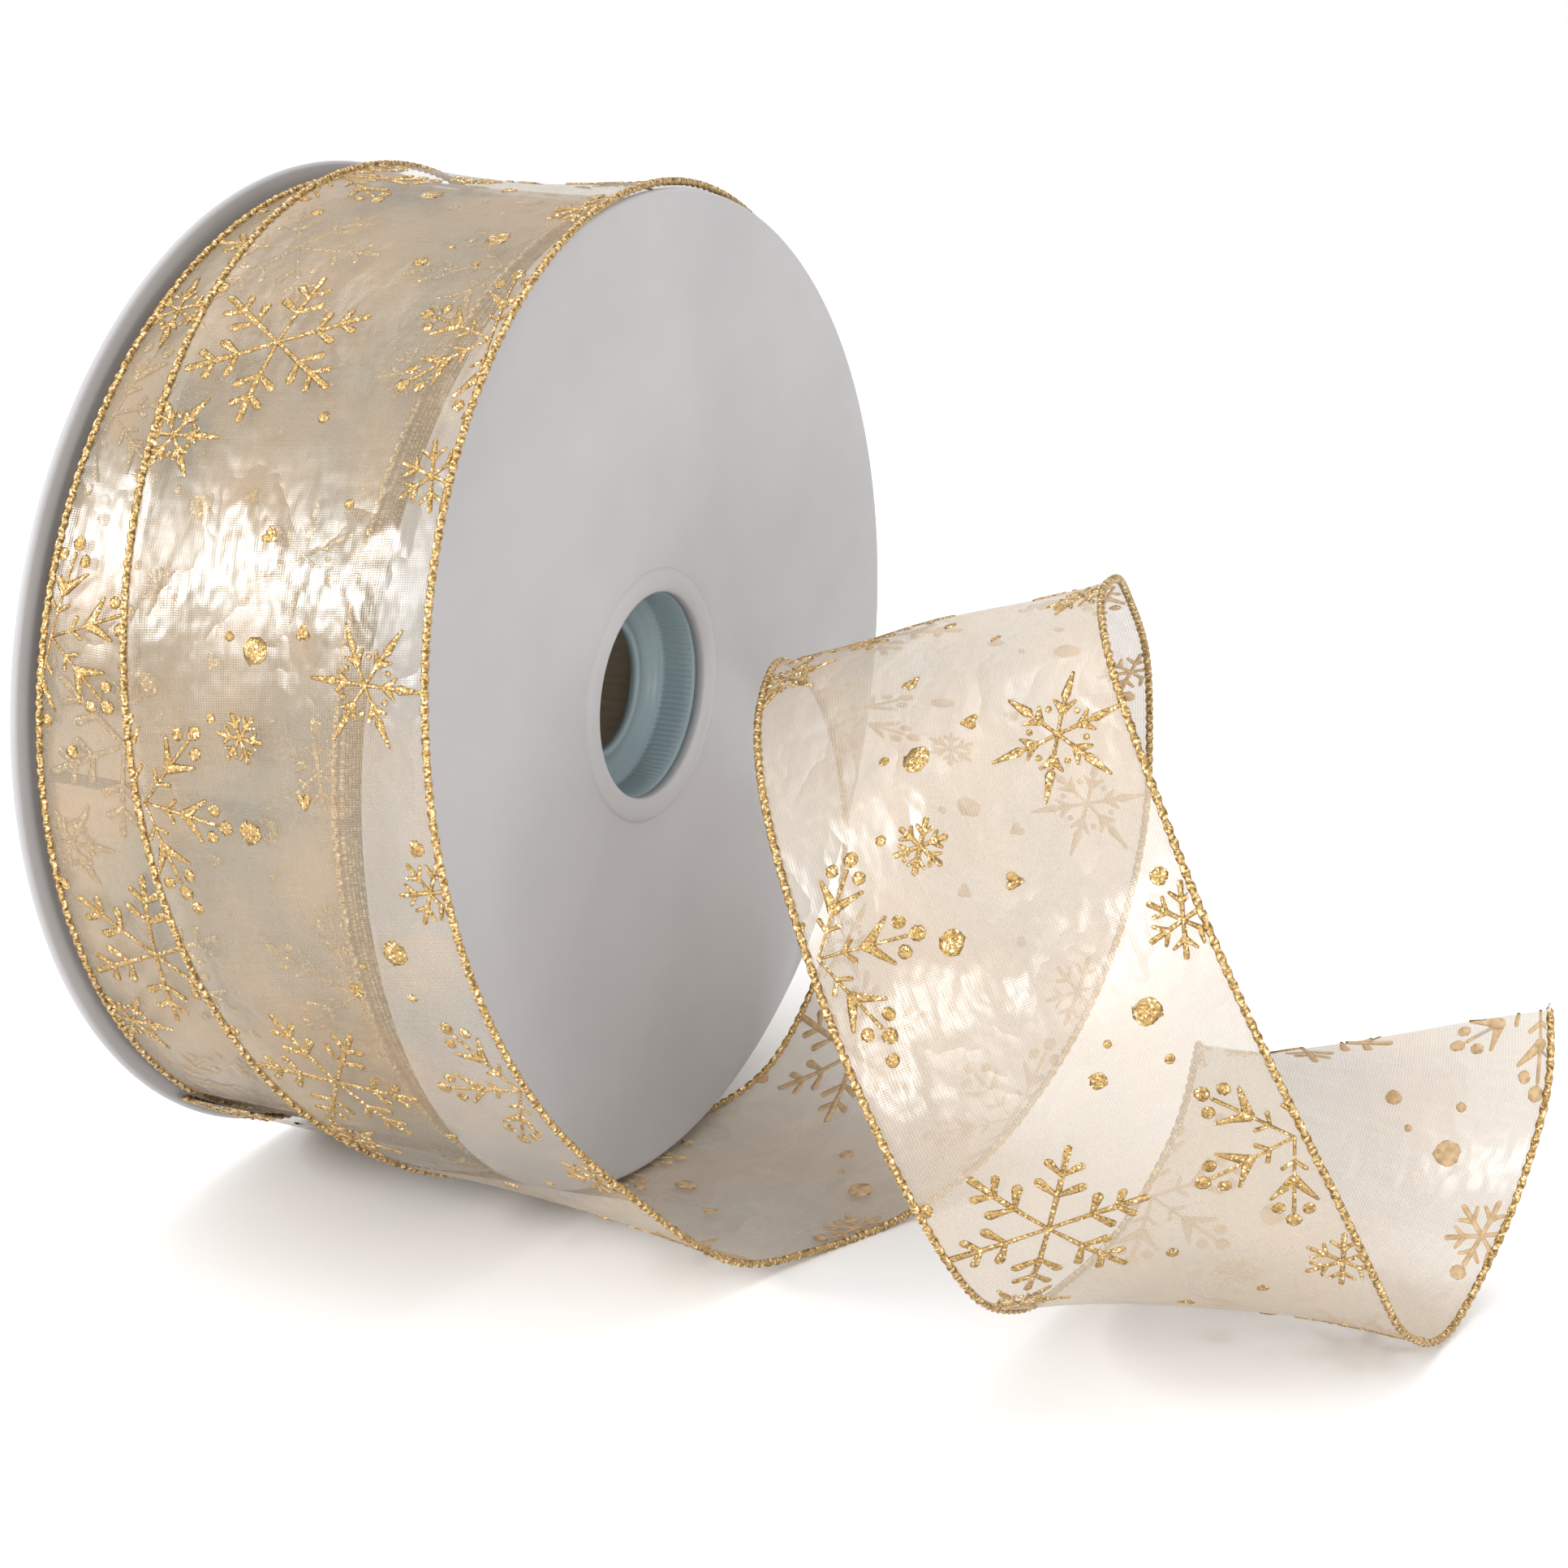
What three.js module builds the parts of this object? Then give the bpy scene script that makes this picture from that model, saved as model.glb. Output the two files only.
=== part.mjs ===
// A flanged plastic spool of wide wired ribbon. The loose end leaves the wound turns, passes
// under the spool, rises into a loop beside it and ends in a fold and a straight cut.
// Millimetres, +Z up. The spool's axis is along X; the origin is below the middle of the whole.
import * as THREE from 'three';

// ---- Driving dimensions ------------------------------------------------------------------
const RIBBON_WIDTH = 63.5;
const FLANGE_RADIUS = 94;
const FLANGE_THICKNESS = 1.6;
const SPOOL_WIDTH = 75.6;
const BORE_RADIUS = 19.5;
const SMALL_BORE_RADIUS = 12.5;
const SOCKET_DEPTH = 10.5;
const SOCKET_WALL = 1.6;
const LIP_RADIUS = 24;
const LIP_HEIGHT = 0.9;
const CORE_WALL = 2.6;
const WOUND_RADIUS = 91.2;
const TAPE_THICKNESS = 0.4;
const TAPE_WIDTH = 50;
const TAPE_ARC = Math.PI / 3;
const THREAD_RADIUS = 0.6;
const THREAD_BORE = 0.5;
const WIRE_RADIUS = 0.2;
const GAP = 0.3;
const ROUND_STEPS = 72;

// ---- Sizes that follow from them ---------------------------------------------------------
const HALF_RIBBON = RIBBON_WIDTH / 2;
const HALF_SPOOL = SPOOL_WIDTH / 2;
const STRIP_THICKNESS = 2 * THREAD_RADIUS;
const THREAD_LINE = HALF_RIBBON - THREAD_RADIUS;
const STRIP_HALF = HALF_RIBBON - 2 * THREAD_RADIUS - GAP;
const FLANGE_INSIDE = HALF_SPOOL - FLANGE_THICKNESS;
const HUB_END = FLANGE_INSIDE - GAP;
const SOCKET_OUTSIDE = BORE_RADIUS + SOCKET_WALL;
const CORE_INSIDE = SOCKET_OUTSIDE + GAP;
const CORE_OUTSIDE = CORE_INSIDE + CORE_WALL;
const TAPE_INSIDE = CORE_OUTSIDE + GAP;
const WOUND_INSIDE = TAPE_INSIDE + TAPE_THICKNESS + GAP;
const LAST_TURN_INSIDE = WOUND_RADIUS - STRIP_THICKNESS;
const TURN_START_RADIUS = WOUND_RADIUS + 4 * GAP + STRIP_THICKNESS / 2;
const LOOSE_TURN_RADIUS = FLANGE_RADIUS + GAP + 0.2 + STRIP_THICKNESS / 2;
const SPOOL_LIFT = STRIP_THICKNESS + 2 * GAP;
const AXIS_HEIGHT = FLANGE_RADIUS + SPOOL_LIFT;

// ---- Materials ---------------------------------------------------------------------------
const finish = (color, roughness, metalness = 0) =>
  new THREE.MeshStandardMaterial({ color, roughness, metalness });
const FLANGE_PLASTIC = finish(0xc9c5c4, 0.55);
const HUB_PLASTIC = finish(0x8b9a9e, 0.5);
const CORE_BOARD = finish(0xb9a88c, 0.85);
const TAPE = finish(0xd9d2bd, 0.4);
const ORGANZA = finish(0xe4d3ba, 0.45);
const GOLD_THREAD = finish(0xb08a4c, 0.35, 0.7);
const WIRE = finish(0xa9a9ad, 0.3, 0.9);

const named = (name, geometry, material) => {
  const mesh = new THREE.Mesh(geometry, material);
  mesh.name = name;
  return mesh;
};

// ---- Turned pieces -----------------------------------------------------------------------
// A closed outline of [place along the axis, radius] turned about the spool's axis.
function turned(outline) {
  const closed = [...outline, outline[0]].reverse();
  const points = closed.map(([along, radius]) => new THREE.Vector2(radius, along));
  return new THREE.LatheGeometry(points, ROUND_STEPS).rotateZ(-Math.PI / 2);
}

// Points of an arc in an outline, from angle `from` to angle `to` in quarter turns.
function arc(along, radius, size, from, to, steps = 3) {
  const quarter = Math.PI / 2;
  return Array.from({ length: steps + 1 }, (_, i) => {
    const angle = quarter * (from + ((to - from) * i) / steps);
    return [along + size * Math.cos(angle), radius + size * Math.sin(angle)];
  });
}

// A thin disc with a rounded rim and a low rolled lip round its bore. The outer face is +X.
function flange() {
  const edge = FLANGE_THICKNESS / 2;
  const lipMiddle = (BORE_RADIUS + LIP_RADIUS) / 2;
  const lipHalf = (LIP_RADIUS - BORE_RADIUS) / 2;
  const lipSteps = 4;
  const lip = Array.from({ length: lipSteps + 1 }, (_, i) => {
    const angle = (Math.PI * i) / lipSteps;
    return [HALF_SPOOL + LIP_HEIGHT * Math.sin(angle), lipMiddle + lipHalf * Math.cos(angle)];
  });
  return turned([
    [FLANGE_INSIDE, BORE_RADIUS],
    ...lip.reverse(),
    ...arc(HALF_SPOOL - edge, FLANGE_RADIUS - edge, edge, 0, 2),
  ]);
}

// A cup in the end of the core: its wall carries on the flange's bore, and its floor has a
// smaller bore for the spindle.
function hubSocket() {
  const step = HALF_SPOOL - SOCKET_DEPTH;
  const fillet = 1.2;
  return turned([
    [step - SOCKET_WALL, SMALL_BORE_RADIUS],
    [step, SMALL_BORE_RADIUS],
    ...arc(step + fillet, BORE_RADIUS - fillet, fillet, 2, 1),
    [HUB_END, BORE_RADIUS],
    [HUB_END, SOCKET_OUTSIDE],
    [step - SOCKET_WALL, SOCKET_OUTSIDE],
  ]);
}

// A plain ring between two radii, centred on the spool.
function ring(halfLength, inside, outside) {
  return turned([
    [-halfLength, inside],
    [halfLength, inside],
    [halfLength, outside],
    [-halfLength, outside],
  ]);
}

// The gold overlocked edge of the last wound turn: a ring of thread on one side.
function turnThread(side) {
  const along = side * THREAD_LINE;
  const radius = WOUND_RADIUS - THREAD_RADIUS;
  const sides = 6;
  return turned(arc(along, radius, THREAD_RADIUS, 0, 4 - 4 / sides, sides - 1));
}

// The tape that holds the ribbon's first end: a patch bent round the core.
function startTape() {
  const outline = new THREE.Shape();
  outline.absarc(0, 0, TAPE_INSIDE + TAPE_THICKNESS, 0, TAPE_ARC, false);
  outline.absarc(0, 0, TAPE_INSIDE, TAPE_ARC, 0, true);
  const options = { depth: TAPE_WIDTH, bevelEnabled: false, curveSegments: 10 };
  const geometry = new THREE.ExtrudeGeometry(outline, options);
  return geometry.translate(0, 0, -TAPE_WIDTH / 2).rotateY(Math.PI / 2);
}

// ---- The ribbon's route ------------------------------------------------------------------
// The outer turn goes once round the spool, over the wound turns, in degrees from the top. It
// starts under the place where it leaves. Its lead angle, and so its drift towards +X, grows
// with the square of the angle turned, and it swells clear of the rims before it crosses one.
const TURN_START = -216;
const TURN_END = 144;
const TURN_STEP = 18;
const CLEAR_OF_RIMS = -40;
const LEAD_AT_TOP = 4;
const LEAD_AT_END = 17;
const DRIFT_AT_START = -2.5;

const radians = THREE.MathUtils.degToRad;

function leadAt(turn) {
  const share = turn < 0 ? 1 - turn / TURN_START : turn / TURN_END;
  const rise = share * share;
  return radians(turn < 0 ? LEAD_AT_TOP * rise : LEAD_AT_TOP + (LEAD_AT_END - LEAD_AT_TOP) * rise);
}

function outerTurn() {
  const stations = [];
  let drift = DRIFT_AT_START;
  for (let turn = TURN_START; turn <= TURN_END; turn += TURN_STEP) {
    const lead = leadAt(turn);
    const angle = radians(turn);
    const swell = THREE.MathUtils.smoothstep(turn, TURN_START, CLEAR_OF_RIMS);
    const radius = THREE.MathUtils.lerp(TURN_START_RADIUS, LOOSE_TURN_RADIUS, swell);
    const centre = new THREE.Vector3(
      drift,
      -radius * Math.sin(angle),
      AXIS_HEIGHT + radius * Math.cos(angle),
    );
    const across = new THREE.Vector3(
      Math.cos(lead),
      Math.sin(lead) * Math.cos(angle),
      Math.sin(lead) * Math.sin(angle),
    );
    stations.push({ centre, across });
    const nextLead = leadAt(turn + TURN_STEP / 2);
    drift += radius * Math.tan(nextLead) * radians(TURN_STEP);
  }
  return stations;
}

// The rest of the way, chosen by hand: the strip's middle as x, y, z, then the direction of
// its width as degrees turned about Z and degrees raised.
const LOOSE_END = [
  [48, -32, 4.5, -18, 2],
  [55, -10, 1, -19, 0],
  [63, 12, 1.6, -19, 0],
  [70, 32, 8, -19, 0],
  [76, 48, 26, -14, -5],
  [80, 55, 47, -4, -8],
  [84, 51, 69, 9, -6],
  [88, 40, 88, 18, 1],
  [94, 23, 103, 22, 8],
  [99, 4, 115, 23, 12],
  [106, -17, 122, 23, 17],
  [114, -39, 121, 22, 23],
  [125, -57, 113, 21, 26],
  [138, -68, 96, 22, 25],
  [149, -71, 76, 24, 25],
  [158, -67, 55, 25, 25],
  [164, -57, 35, 20, 23],
  [166, -41, 19, 9, 15],
  [166, -22, 8, 2, 3],
  [167, 0, 5, 0, -7],
  [169, 20, 16, 2, -11],
  [174, 21, 36, 17, -9],
  [179, 10, 50, 34, 7],
];

function looseEnd() {
  return LOOSE_END.map(([x, y, z, turn, rise]) => ({
    centre: new THREE.Vector3(x, y, z),
    across: new THREE.Vector3(
      Math.cos(radians(rise)) * Math.cos(radians(turn)),
      Math.cos(radians(rise)) * Math.sin(radians(turn)),
      Math.sin(radians(rise)),
    ),
  }));
}

const STATIONS = [...outerTurn(), ...looseEnd()];
const smooth = (points) => new THREE.CatmullRomCurve3(points, false, 'catmullrom', 0.5);
const MIDDLE = smooth(STATIONS.map((station) => station.centre));
const ACROSS = smooth(STATIONS.map((station) => station.across));

// Places along the ribbon are counted in stations from the start of the outer turn.
const LAST = STATIONS.length - 1;
const TURN_LEAVES = (TURN_END - TURN_START) / TURN_STEP;
const FOLD = LAST - 3.5;
const STEPS_PER_STATION = 3;
const STRIP_COLUMNS = 6;

// The strip's frame at one place: its middle, the way across it, and the way out of its face.
function frameAt(place) {
  const centre = MIDDLE.getPoint(place / LAST);
  const along = MIDDLE.getTangent(place / LAST);
  const across = ACROSS.getPoint(place / LAST).normalize();
  const out = new THREE.Vector3().crossVectors(along, across).normalize();
  return { centre, across, out, along };
}

// ---- Pieces that follow the route --------------------------------------------------------
// A flat strip between two places, as a row of sections closed at both ends. Both faces are cut
// into triangles along the same diagonals, so they stay a thickness apart where the strip twists.
function strip(from, to) {
  const rows = Math.max(2, Math.round((to - from) * STEPS_PER_STATION));
  const half = STRIP_THICKNESS / 2;
  const ring = 2 * (STRIP_COLUMNS + 1);
  const positions = [];
  for (let row = 0; row <= rows; row += 1) {
    const { centre, across, out } = frameAt(from + ((to - from) * row) / rows);
    for (const face of [-1, 1]) {
      for (let column = 0; column <= STRIP_COLUMNS; column += 1) {
        const side = -face * ((2 * column) / STRIP_COLUMNS - 1);
        const corner = centre.clone();
        corner.addScaledVector(across, side * STRIP_HALF).addScaledVector(out, face * half);
        positions.push(...corner.toArray());
      }
    }
  }
  const faces = [];
  for (let row = 0; row < rows; row += 1) {
    for (let step = 0; step < ring; step += 1) {
      const a = ring * row + step;
      const b = ring * row + ((step + 1) % ring);
      const onTop = step > STRIP_COLUMNS && step < ring - 1;
      if (onTop) {
        faces.push(a, b, a + ring, b, b + ring, a + ring);
      } else {
        faces.push(a, b, b + ring, a, b + ring, a + ring);
      }
    }
  }
  for (let column = 0; column < STRIP_COLUMNS; column += 1) {
    const corners = [column, column + 1, ring - 2 - column, ring - 1 - column];
    const [a, b, c, d] = corners;
    const [e, f, g, h] = corners.map((corner) => corner + ring * rows);
    faces.push(a, c, b, a, d, c, e, f, g, e, g, h);
  }
  const geometry = new THREE.BufferGeometry();
  geometry.setAttribute('position', new THREE.Float32BufferAttribute(positions, 3));
  geometry.setIndex(faces);
  geometry.computeVertexNormals();
  return geometry;
}

// The line that an edge's thread and wire follow, between two places.
class EdgeLine extends THREE.Curve {
  constructor(side, from, to) {
    super();
    Object.assign(this, { side, from, to });
  }

  getPoint(share, target = new THREE.Vector3()) {
    const { centre, across } = frameAt(this.from + (this.to - this.from) * share);
    return target.copy(centre).addScaledVector(across, this.side * THREAD_LINE);
  }
}

function polygon(shape, radius, sides) {
  const corners = Array.from({ length: sides }, (_, i) => {
    const angle = (2 * Math.PI * i) / sides;
    return new THREE.Vector2(radius * Math.cos(angle), radius * Math.sin(angle));
  });
  return shape.setFromPoints(corners);
}

function alongEdge(section, side, from, to) {
  const steps = Math.round((to - from) * STEPS_PER_STATION);
  const extrudePath = new EdgeLine(side, from, to);
  return new THREE.ExtrudeGeometry(section, { steps, extrudePath });
}

// The overlocked gold thread: a sleeve round the edge wire.
function edgeThread(side, from, to) {
  const section = polygon(new THREE.Shape(), THREAD_RADIUS, 6);
  section.holes.push(polygon(new THREE.Path(), THREAD_BORE, 6));
  return alongEdge(section, side, from, to);
}

function edgeWire(side, from, to) {
  return alongEdge(polygon(new THREE.Shape(), WIRE_RADIUS, 4), side, from, to);
}

// ---- The whole ---------------------------------------------------------------------------
function spool() {
  const group = new THREE.Group();
  for (const [end, turn] of [['near', 0], ['far', Math.PI]]) {
    group.add(named(`${end}_flange`, flange().rotateZ(turn), FLANGE_PLASTIC));
    group.add(named(`${end}_hub_socket`, hubSocket().rotateZ(turn), HUB_PLASTIC));
  }
  group.add(named('core_tube', ring(HUB_END, CORE_INSIDE, CORE_OUTSIDE), CORE_BOARD));
  group.add(named('start_tape', startTape(), TAPE));
  const windings = ring(HALF_RIBBON, WOUND_INSIDE, LAST_TURN_INSIDE - GAP);
  group.add(named('wound_ribbon', windings, ORGANZA));
  group.add(named('last_wound_turn', ring(STRIP_HALF, LAST_TURN_INSIDE, WOUND_RADIUS), ORGANZA));
  group.add(named('last_turn_far_edge', turnThread(-1), GOLD_THREAD));
  group.add(named('last_turn_near_edge', turnThread(1), GOLD_THREAD));
  group.position.z = AXIS_HEIGHT;
  return group;
}

function looseRibbon() {
  const group = new THREE.Group();
  const apart = 0.02;
  group.add(named('outer_turn', strip(0, TURN_LEAVES - apart), ORGANZA));
  group.add(named('loose_tail', strip(TURN_LEAVES, FOLD - apart), ORGANZA));
  group.add(named('ribbon_end', strip(FOLD + apart, LAST), ORGANZA));
  for (const [name, side] of [['far', -1], ['near', 1]]) {
    for (const [part, from, to] of [['loose', 0, FOLD - apart], ['end', FOLD + apart, LAST]]) {
      group.add(named(`${part}_${name}_edge_thread`, edgeThread(side, from, to), GOLD_THREAD));
      group.add(named(`${part}_${name}_edge_wire`, edgeWire(side, from, to), WIRE));
    }
  }
  return group;
}

const pieces = new THREE.Group();
pieces.add(spool(), looseRibbon());
pieces.updateMatrixWorld(true);
const size = new THREE.Box3().setFromObject(pieces, true);
const middle = size.getCenter(new THREE.Vector3());
pieces.position.set(-middle.x, -middle.y, -size.min.z);

const ribbonSpool = new THREE.Group();
ribbonSpool.name = 'ribbon_spool';
ribbonSpool.add(pieces);
ribbonSpool.updateMatrixWorld(true);

export default ribbonSpool;
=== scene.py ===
import logging
import math
from collections.abc import Callable, Sequence
from dataclasses import dataclass, field
from enum import Enum

import bpy
import numpy as np
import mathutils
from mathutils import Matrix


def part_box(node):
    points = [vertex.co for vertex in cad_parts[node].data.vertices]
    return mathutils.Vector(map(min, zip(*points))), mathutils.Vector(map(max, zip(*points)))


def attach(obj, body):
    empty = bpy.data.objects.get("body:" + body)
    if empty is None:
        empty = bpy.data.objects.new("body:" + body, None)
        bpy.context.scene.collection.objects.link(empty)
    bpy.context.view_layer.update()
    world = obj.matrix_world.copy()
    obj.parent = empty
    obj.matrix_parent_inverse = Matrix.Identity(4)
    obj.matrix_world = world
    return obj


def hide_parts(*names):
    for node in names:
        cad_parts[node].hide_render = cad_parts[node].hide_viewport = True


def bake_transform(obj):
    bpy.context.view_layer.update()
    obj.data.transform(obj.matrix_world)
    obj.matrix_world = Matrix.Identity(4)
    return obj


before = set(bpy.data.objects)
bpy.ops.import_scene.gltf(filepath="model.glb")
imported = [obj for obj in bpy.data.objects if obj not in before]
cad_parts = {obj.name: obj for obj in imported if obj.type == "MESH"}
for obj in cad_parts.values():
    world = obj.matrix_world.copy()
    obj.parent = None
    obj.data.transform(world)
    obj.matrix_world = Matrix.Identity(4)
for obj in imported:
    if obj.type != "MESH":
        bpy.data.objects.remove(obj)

LOG = logging.getLogger("ribbon_spool")
MM = 0.001
Vector = tuple[float, float, float]
Colour = tuple[float, float, float]


# ---- The frame's places ------------------------------------------------------------------------
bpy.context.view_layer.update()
FAR_LOW = np.array(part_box("far_flange")[0])
NEAR_LOW, NEAR_HIGH = (np.array(corner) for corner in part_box("near_flange"))
SPOOL_CENTRE = np.array([
    (FAR_LOW[0] + NEAR_HIGH[0]) / 2,
    (NEAR_LOW[1] + NEAR_HIGH[1]) / 2,
    (NEAR_LOW[2] + NEAR_HIGH[2]) / 2,
])


# ---- Sizes -------------------------------------------------------------------------------------
@dataclass(frozen=True)
class Sizes:
    """The driving sizes, in metres, the same as the solid model's."""

    ribbon_width: float = 63.5 * MM
    flange_radius: float = 94 * MM
    flange_thickness: float = 1.6 * MM
    spool_width: float = 75.6 * MM
    bore_radius: float = 19.5 * MM
    small_bore_radius: float = 12.5 * MM
    socket_depth: float = 10.5 * MM
    socket_wall: float = 1.6 * MM
    lip_radius: float = 24 * MM
    lip_height: float = 0.9 * MM
    wound_radius: float = 91.2 * MM
    wound_inside: float = 25 * MM
    strip_thickness: float = 1.2 * MM
    gap: float = 0.3 * MM
    axis_height: float = 95.8 * MM

    @property
    def half_ribbon(self) -> float:
        """Half the ribbon's width."""
        return self.ribbon_width / 2

    @property
    def half_spool(self) -> float:
        """Half the spool's width over the flanges' flat faces."""
        return self.spool_width / 2


SIZES = Sizes()


# ---- Meshes from grids -------------------------------------------------------------------------
@dataclass
class Patch:
    """A surface on a grid of rows and columns, with each corner's place on the cloth as its UV."""

    points: np.ndarray
    lay: np.ndarray | None = None
    close_rows: bool = False
    close_columns: bool = False
    capped: bool = False
    turned_over: bool = False

    def faces(self) -> list[list[int]]:
        """Four-cornered faces between neighbouring rows and columns, and fans over capped ends.

        Returns:
            The corner numbers of each face, in order round it.
        """
        rows, columns = self.points.shape[:2]
        row = np.arange(rows if self.close_rows else rows - 1)
        column = np.arange(columns if self.close_columns else columns - 1)
        row, column = np.meshgrid(row, column, indexing="ij")
        next_row = (row + 1) % rows
        next_column = (column + 1) % columns
        quads = np.stack([
            row * columns + column,
            row * columns + next_column,
            next_row * columns + next_column,
            next_row * columns + column,
        ], axis=-1).reshape(-1, 4)
        if self.turned_over:
            quads = quads[:, ::-1]
        faces = quads.tolist()
        if self.capped:
            ring = np.arange(columns)
            after = (ring + 1) % columns
            first = rows * columns
            last = (rows - 1) * columns
            start = np.stack([np.full(columns, first), after, ring], axis=-1)
            end = np.stack([np.full(columns, first + 1), last + ring, last + after], axis=-1)
            if self.turned_over:
                start, end = start[:, ::-1], end[:, ::-1]
            faces += start.tolist() + end.tolist()
        return faces

    def corners(self) -> np.ndarray:
        """The grid's points in one list, with a middle point after them for each cap."""
        points = self.points.reshape(-1, 3)
        if self.capped:
            points = np.vstack([points, self.points[0].mean(0), self.points[-1].mean(0)])
        return points

    def places(self) -> np.ndarray | None:
        """The UV of each point in the order of `corners`."""
        if self.lay is None:
            return None
        places = self.lay.reshape(-1, 2)
        if self.capped:
            places = np.vstack([places, self.lay[0].mean(0), self.lay[-1].mean(0)])
        return places


def link_mesh(name: str, points: np.ndarray, faces: list[list[int]],
              places: np.ndarray | None, smooth: bool = True) -> bpy.types.Object:
    """One object from corners and faces, at the origin.

    Args:
        name: The piece's name.
        points: The corners.
        faces: The corner numbers of each face.
        places: Each corner's place on the cloth, for the UV, or None.
        smooth: Whether its faces are shaded smooth.

    Returns:
        The new object, linked into the scene.
    """
    mesh = bpy.data.meshes.new(name)
    mesh.from_pydata(points.tolist(), [], faces)
    if places is not None:
        corner_of_loop = np.empty(len(mesh.loops), dtype=np.int32)
        mesh.loops.foreach_get("vertex_index", corner_of_loop)
        layer = mesh.uv_layers.new(name="lay")
        layer.data.foreach_set("uv", places[corner_of_loop].astype(np.float32).ravel())
    mesh.polygons.foreach_set("use_smooth", np.full(len(mesh.polygons), smooth))
    mesh.update()
    piece = bpy.data.objects.new(name, mesh)
    bpy.context.scene.collection.objects.link(piece)
    return piece


def make_piece(name: str, patches: Sequence[Patch], smooth: bool = True) -> bpy.types.Object:
    """One object out of one or more grids, at the origin.

    Args:
        name: The piece's name.
        patches: The grids.
        smooth: Whether its faces are shaded smooth.

    Returns:
        The new object, linked into the scene.
    """
    points: list[np.ndarray] = []
    faces: list[list[int]] = []
    places: list[np.ndarray] = []
    count = 0
    for patch in patches:
        corners = patch.corners()
        faces += [[count + corner for corner in face] for face in patch.faces()]
        points.append(corners)
        if patch.lay is not None:
            places.append(patch.places())
        count += len(corners)
    return link_mesh(name, np.vstack(points), faces, np.vstack(places) if places else None, smooth)


def dress(piece: bpy.types.Object, material: bpy.types.Material, body: str | None) -> None:
    """Gives a piece its material and slot, and lets it ride on a body if one is named."""
    piece.data.materials.clear()
    piece.data.materials.append(material)
    if body:
        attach(piece, body)


# ---- Finishes ----------------------------------------------------------------------------------
class Graph:
    """A material's nodes, with short calls to add, set and join them."""

    def __init__(self, name: str) -> None:
        """Starts an empty material with its output and one principled surface."""
        self.material = bpy.data.materials.new(name)
        self.material.use_nodes = True
        self.tree = self.material.node_tree
        self.tree.nodes.clear()
        self.output = self.tree.nodes.new("ShaderNodeOutputMaterial")
        self.surface = self.tree.nodes.new("ShaderNodeBsdfPrincipled")
        self.join(self.surface.outputs["BSDF"], self.output.inputs["Surface"])

    def join(self, source: bpy.types.NodeSocket, target: bpy.types.NodeSocket) -> None:
        """Links one socket to another."""
        self.tree.links.new(source, target)

    def node(self, kind: str, inputs: dict | None = None, **settings: object) -> bpy.types.Node:
        """Adds a node.

        Args:
            kind: The node's type, without its ShaderNode prefix.
            inputs: Values or sockets for its inputs, by name or number.
            settings: The node's own settings.

        Returns:
            The node.
        """
        node = self.tree.nodes.new("ShaderNode" + kind)
        for key, value in settings.items():
            setattr(node, key, value)
        for key, value in (inputs or {}).items():
            if isinstance(value, bpy.types.NodeSocket):
                self.join(value, node.inputs[key])
            else:
                node.inputs[key].default_value = value
        return node

    def maths(self, operation: str, first: object, second: object = 0.0) -> bpy.types.NodeSocket:
        """The result of a two-number sum."""
        return self.node("Math", {0: first, 1: second}, operation=operation).outputs[0]

    def place(self, scale: Vector = (1, 1, 1), by_cloth: bool = False) -> bpy.types.NodeSocket:
        """Coordinates in metres times a scale, from the object or from the cloth's own lay."""
        if by_cloth:
            source = self.node("UVMap", uv_map="lay").outputs["UV"]
        else:
            source = self.node("TexCoord").outputs["Object"]
        return self.node("VectorMath", {0: source, 1: scale}, operation="MULTIPLY").outputs[0]

    def noise(self, place: bpy.types.NodeSocket, detail: float = 2.0) -> bpy.types.NodeSocket:
        """Soft noise with a grain of about one unit of the scaled place."""
        return self.node("TexNoise", {"Vector": place, "Scale": 1.0, "Detail": detail}).outputs["Fac"]

    def span(self, value: bpy.types.NodeSocket, low: float, high: float,
             to_low: float = 0.0, to_high: float = 1.0) -> bpy.types.NodeSocket:
        """A value carried from one range to another and held inside it."""
        inputs = {0: value, 1: low, 2: high, 3: to_low, 4: to_high}
        return self.node("MapRange", inputs, clamp=True).outputs[0]

    def ramp(self, value: bpy.types.NodeSocket,
             stops: Sequence[tuple[float, Colour]]) -> bpy.types.NodeSocket:
        """A colour read off a row of stops."""
        node = self.node("ValToRGB", {0: value})
        elements = node.color_ramp.elements
        while len(elements) < len(stops):
            elements.new(0.5)
        for element, (position, colour) in zip(elements, stops):
            element.position = position
            element.color = (*colour, 1.0)
        return node.outputs["Color"]

    def bump(self, height: bpy.types.NodeSocket, distance: float, strength: float = 1.0) -> None:
        """Adds relief to the surface, over any relief that is there already."""
        inputs = {"Height": height, "Distance": distance, "Strength": strength}
        node = self.node("Bump", inputs)
        normal = self.surface.inputs["Normal"]
        if normal.is_linked:
            self.join(normal.links[0].from_socket, node.inputs["Normal"])
        self.join(node.outputs["Normal"], normal)

    def fixed(self, **values: object) -> None:
        """Sets plain values on the surface; underscores in a name stand for spaces."""
        for key, value in values.items():
            self.surface.inputs[key.replace("_", " ")].default_value = value


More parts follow.
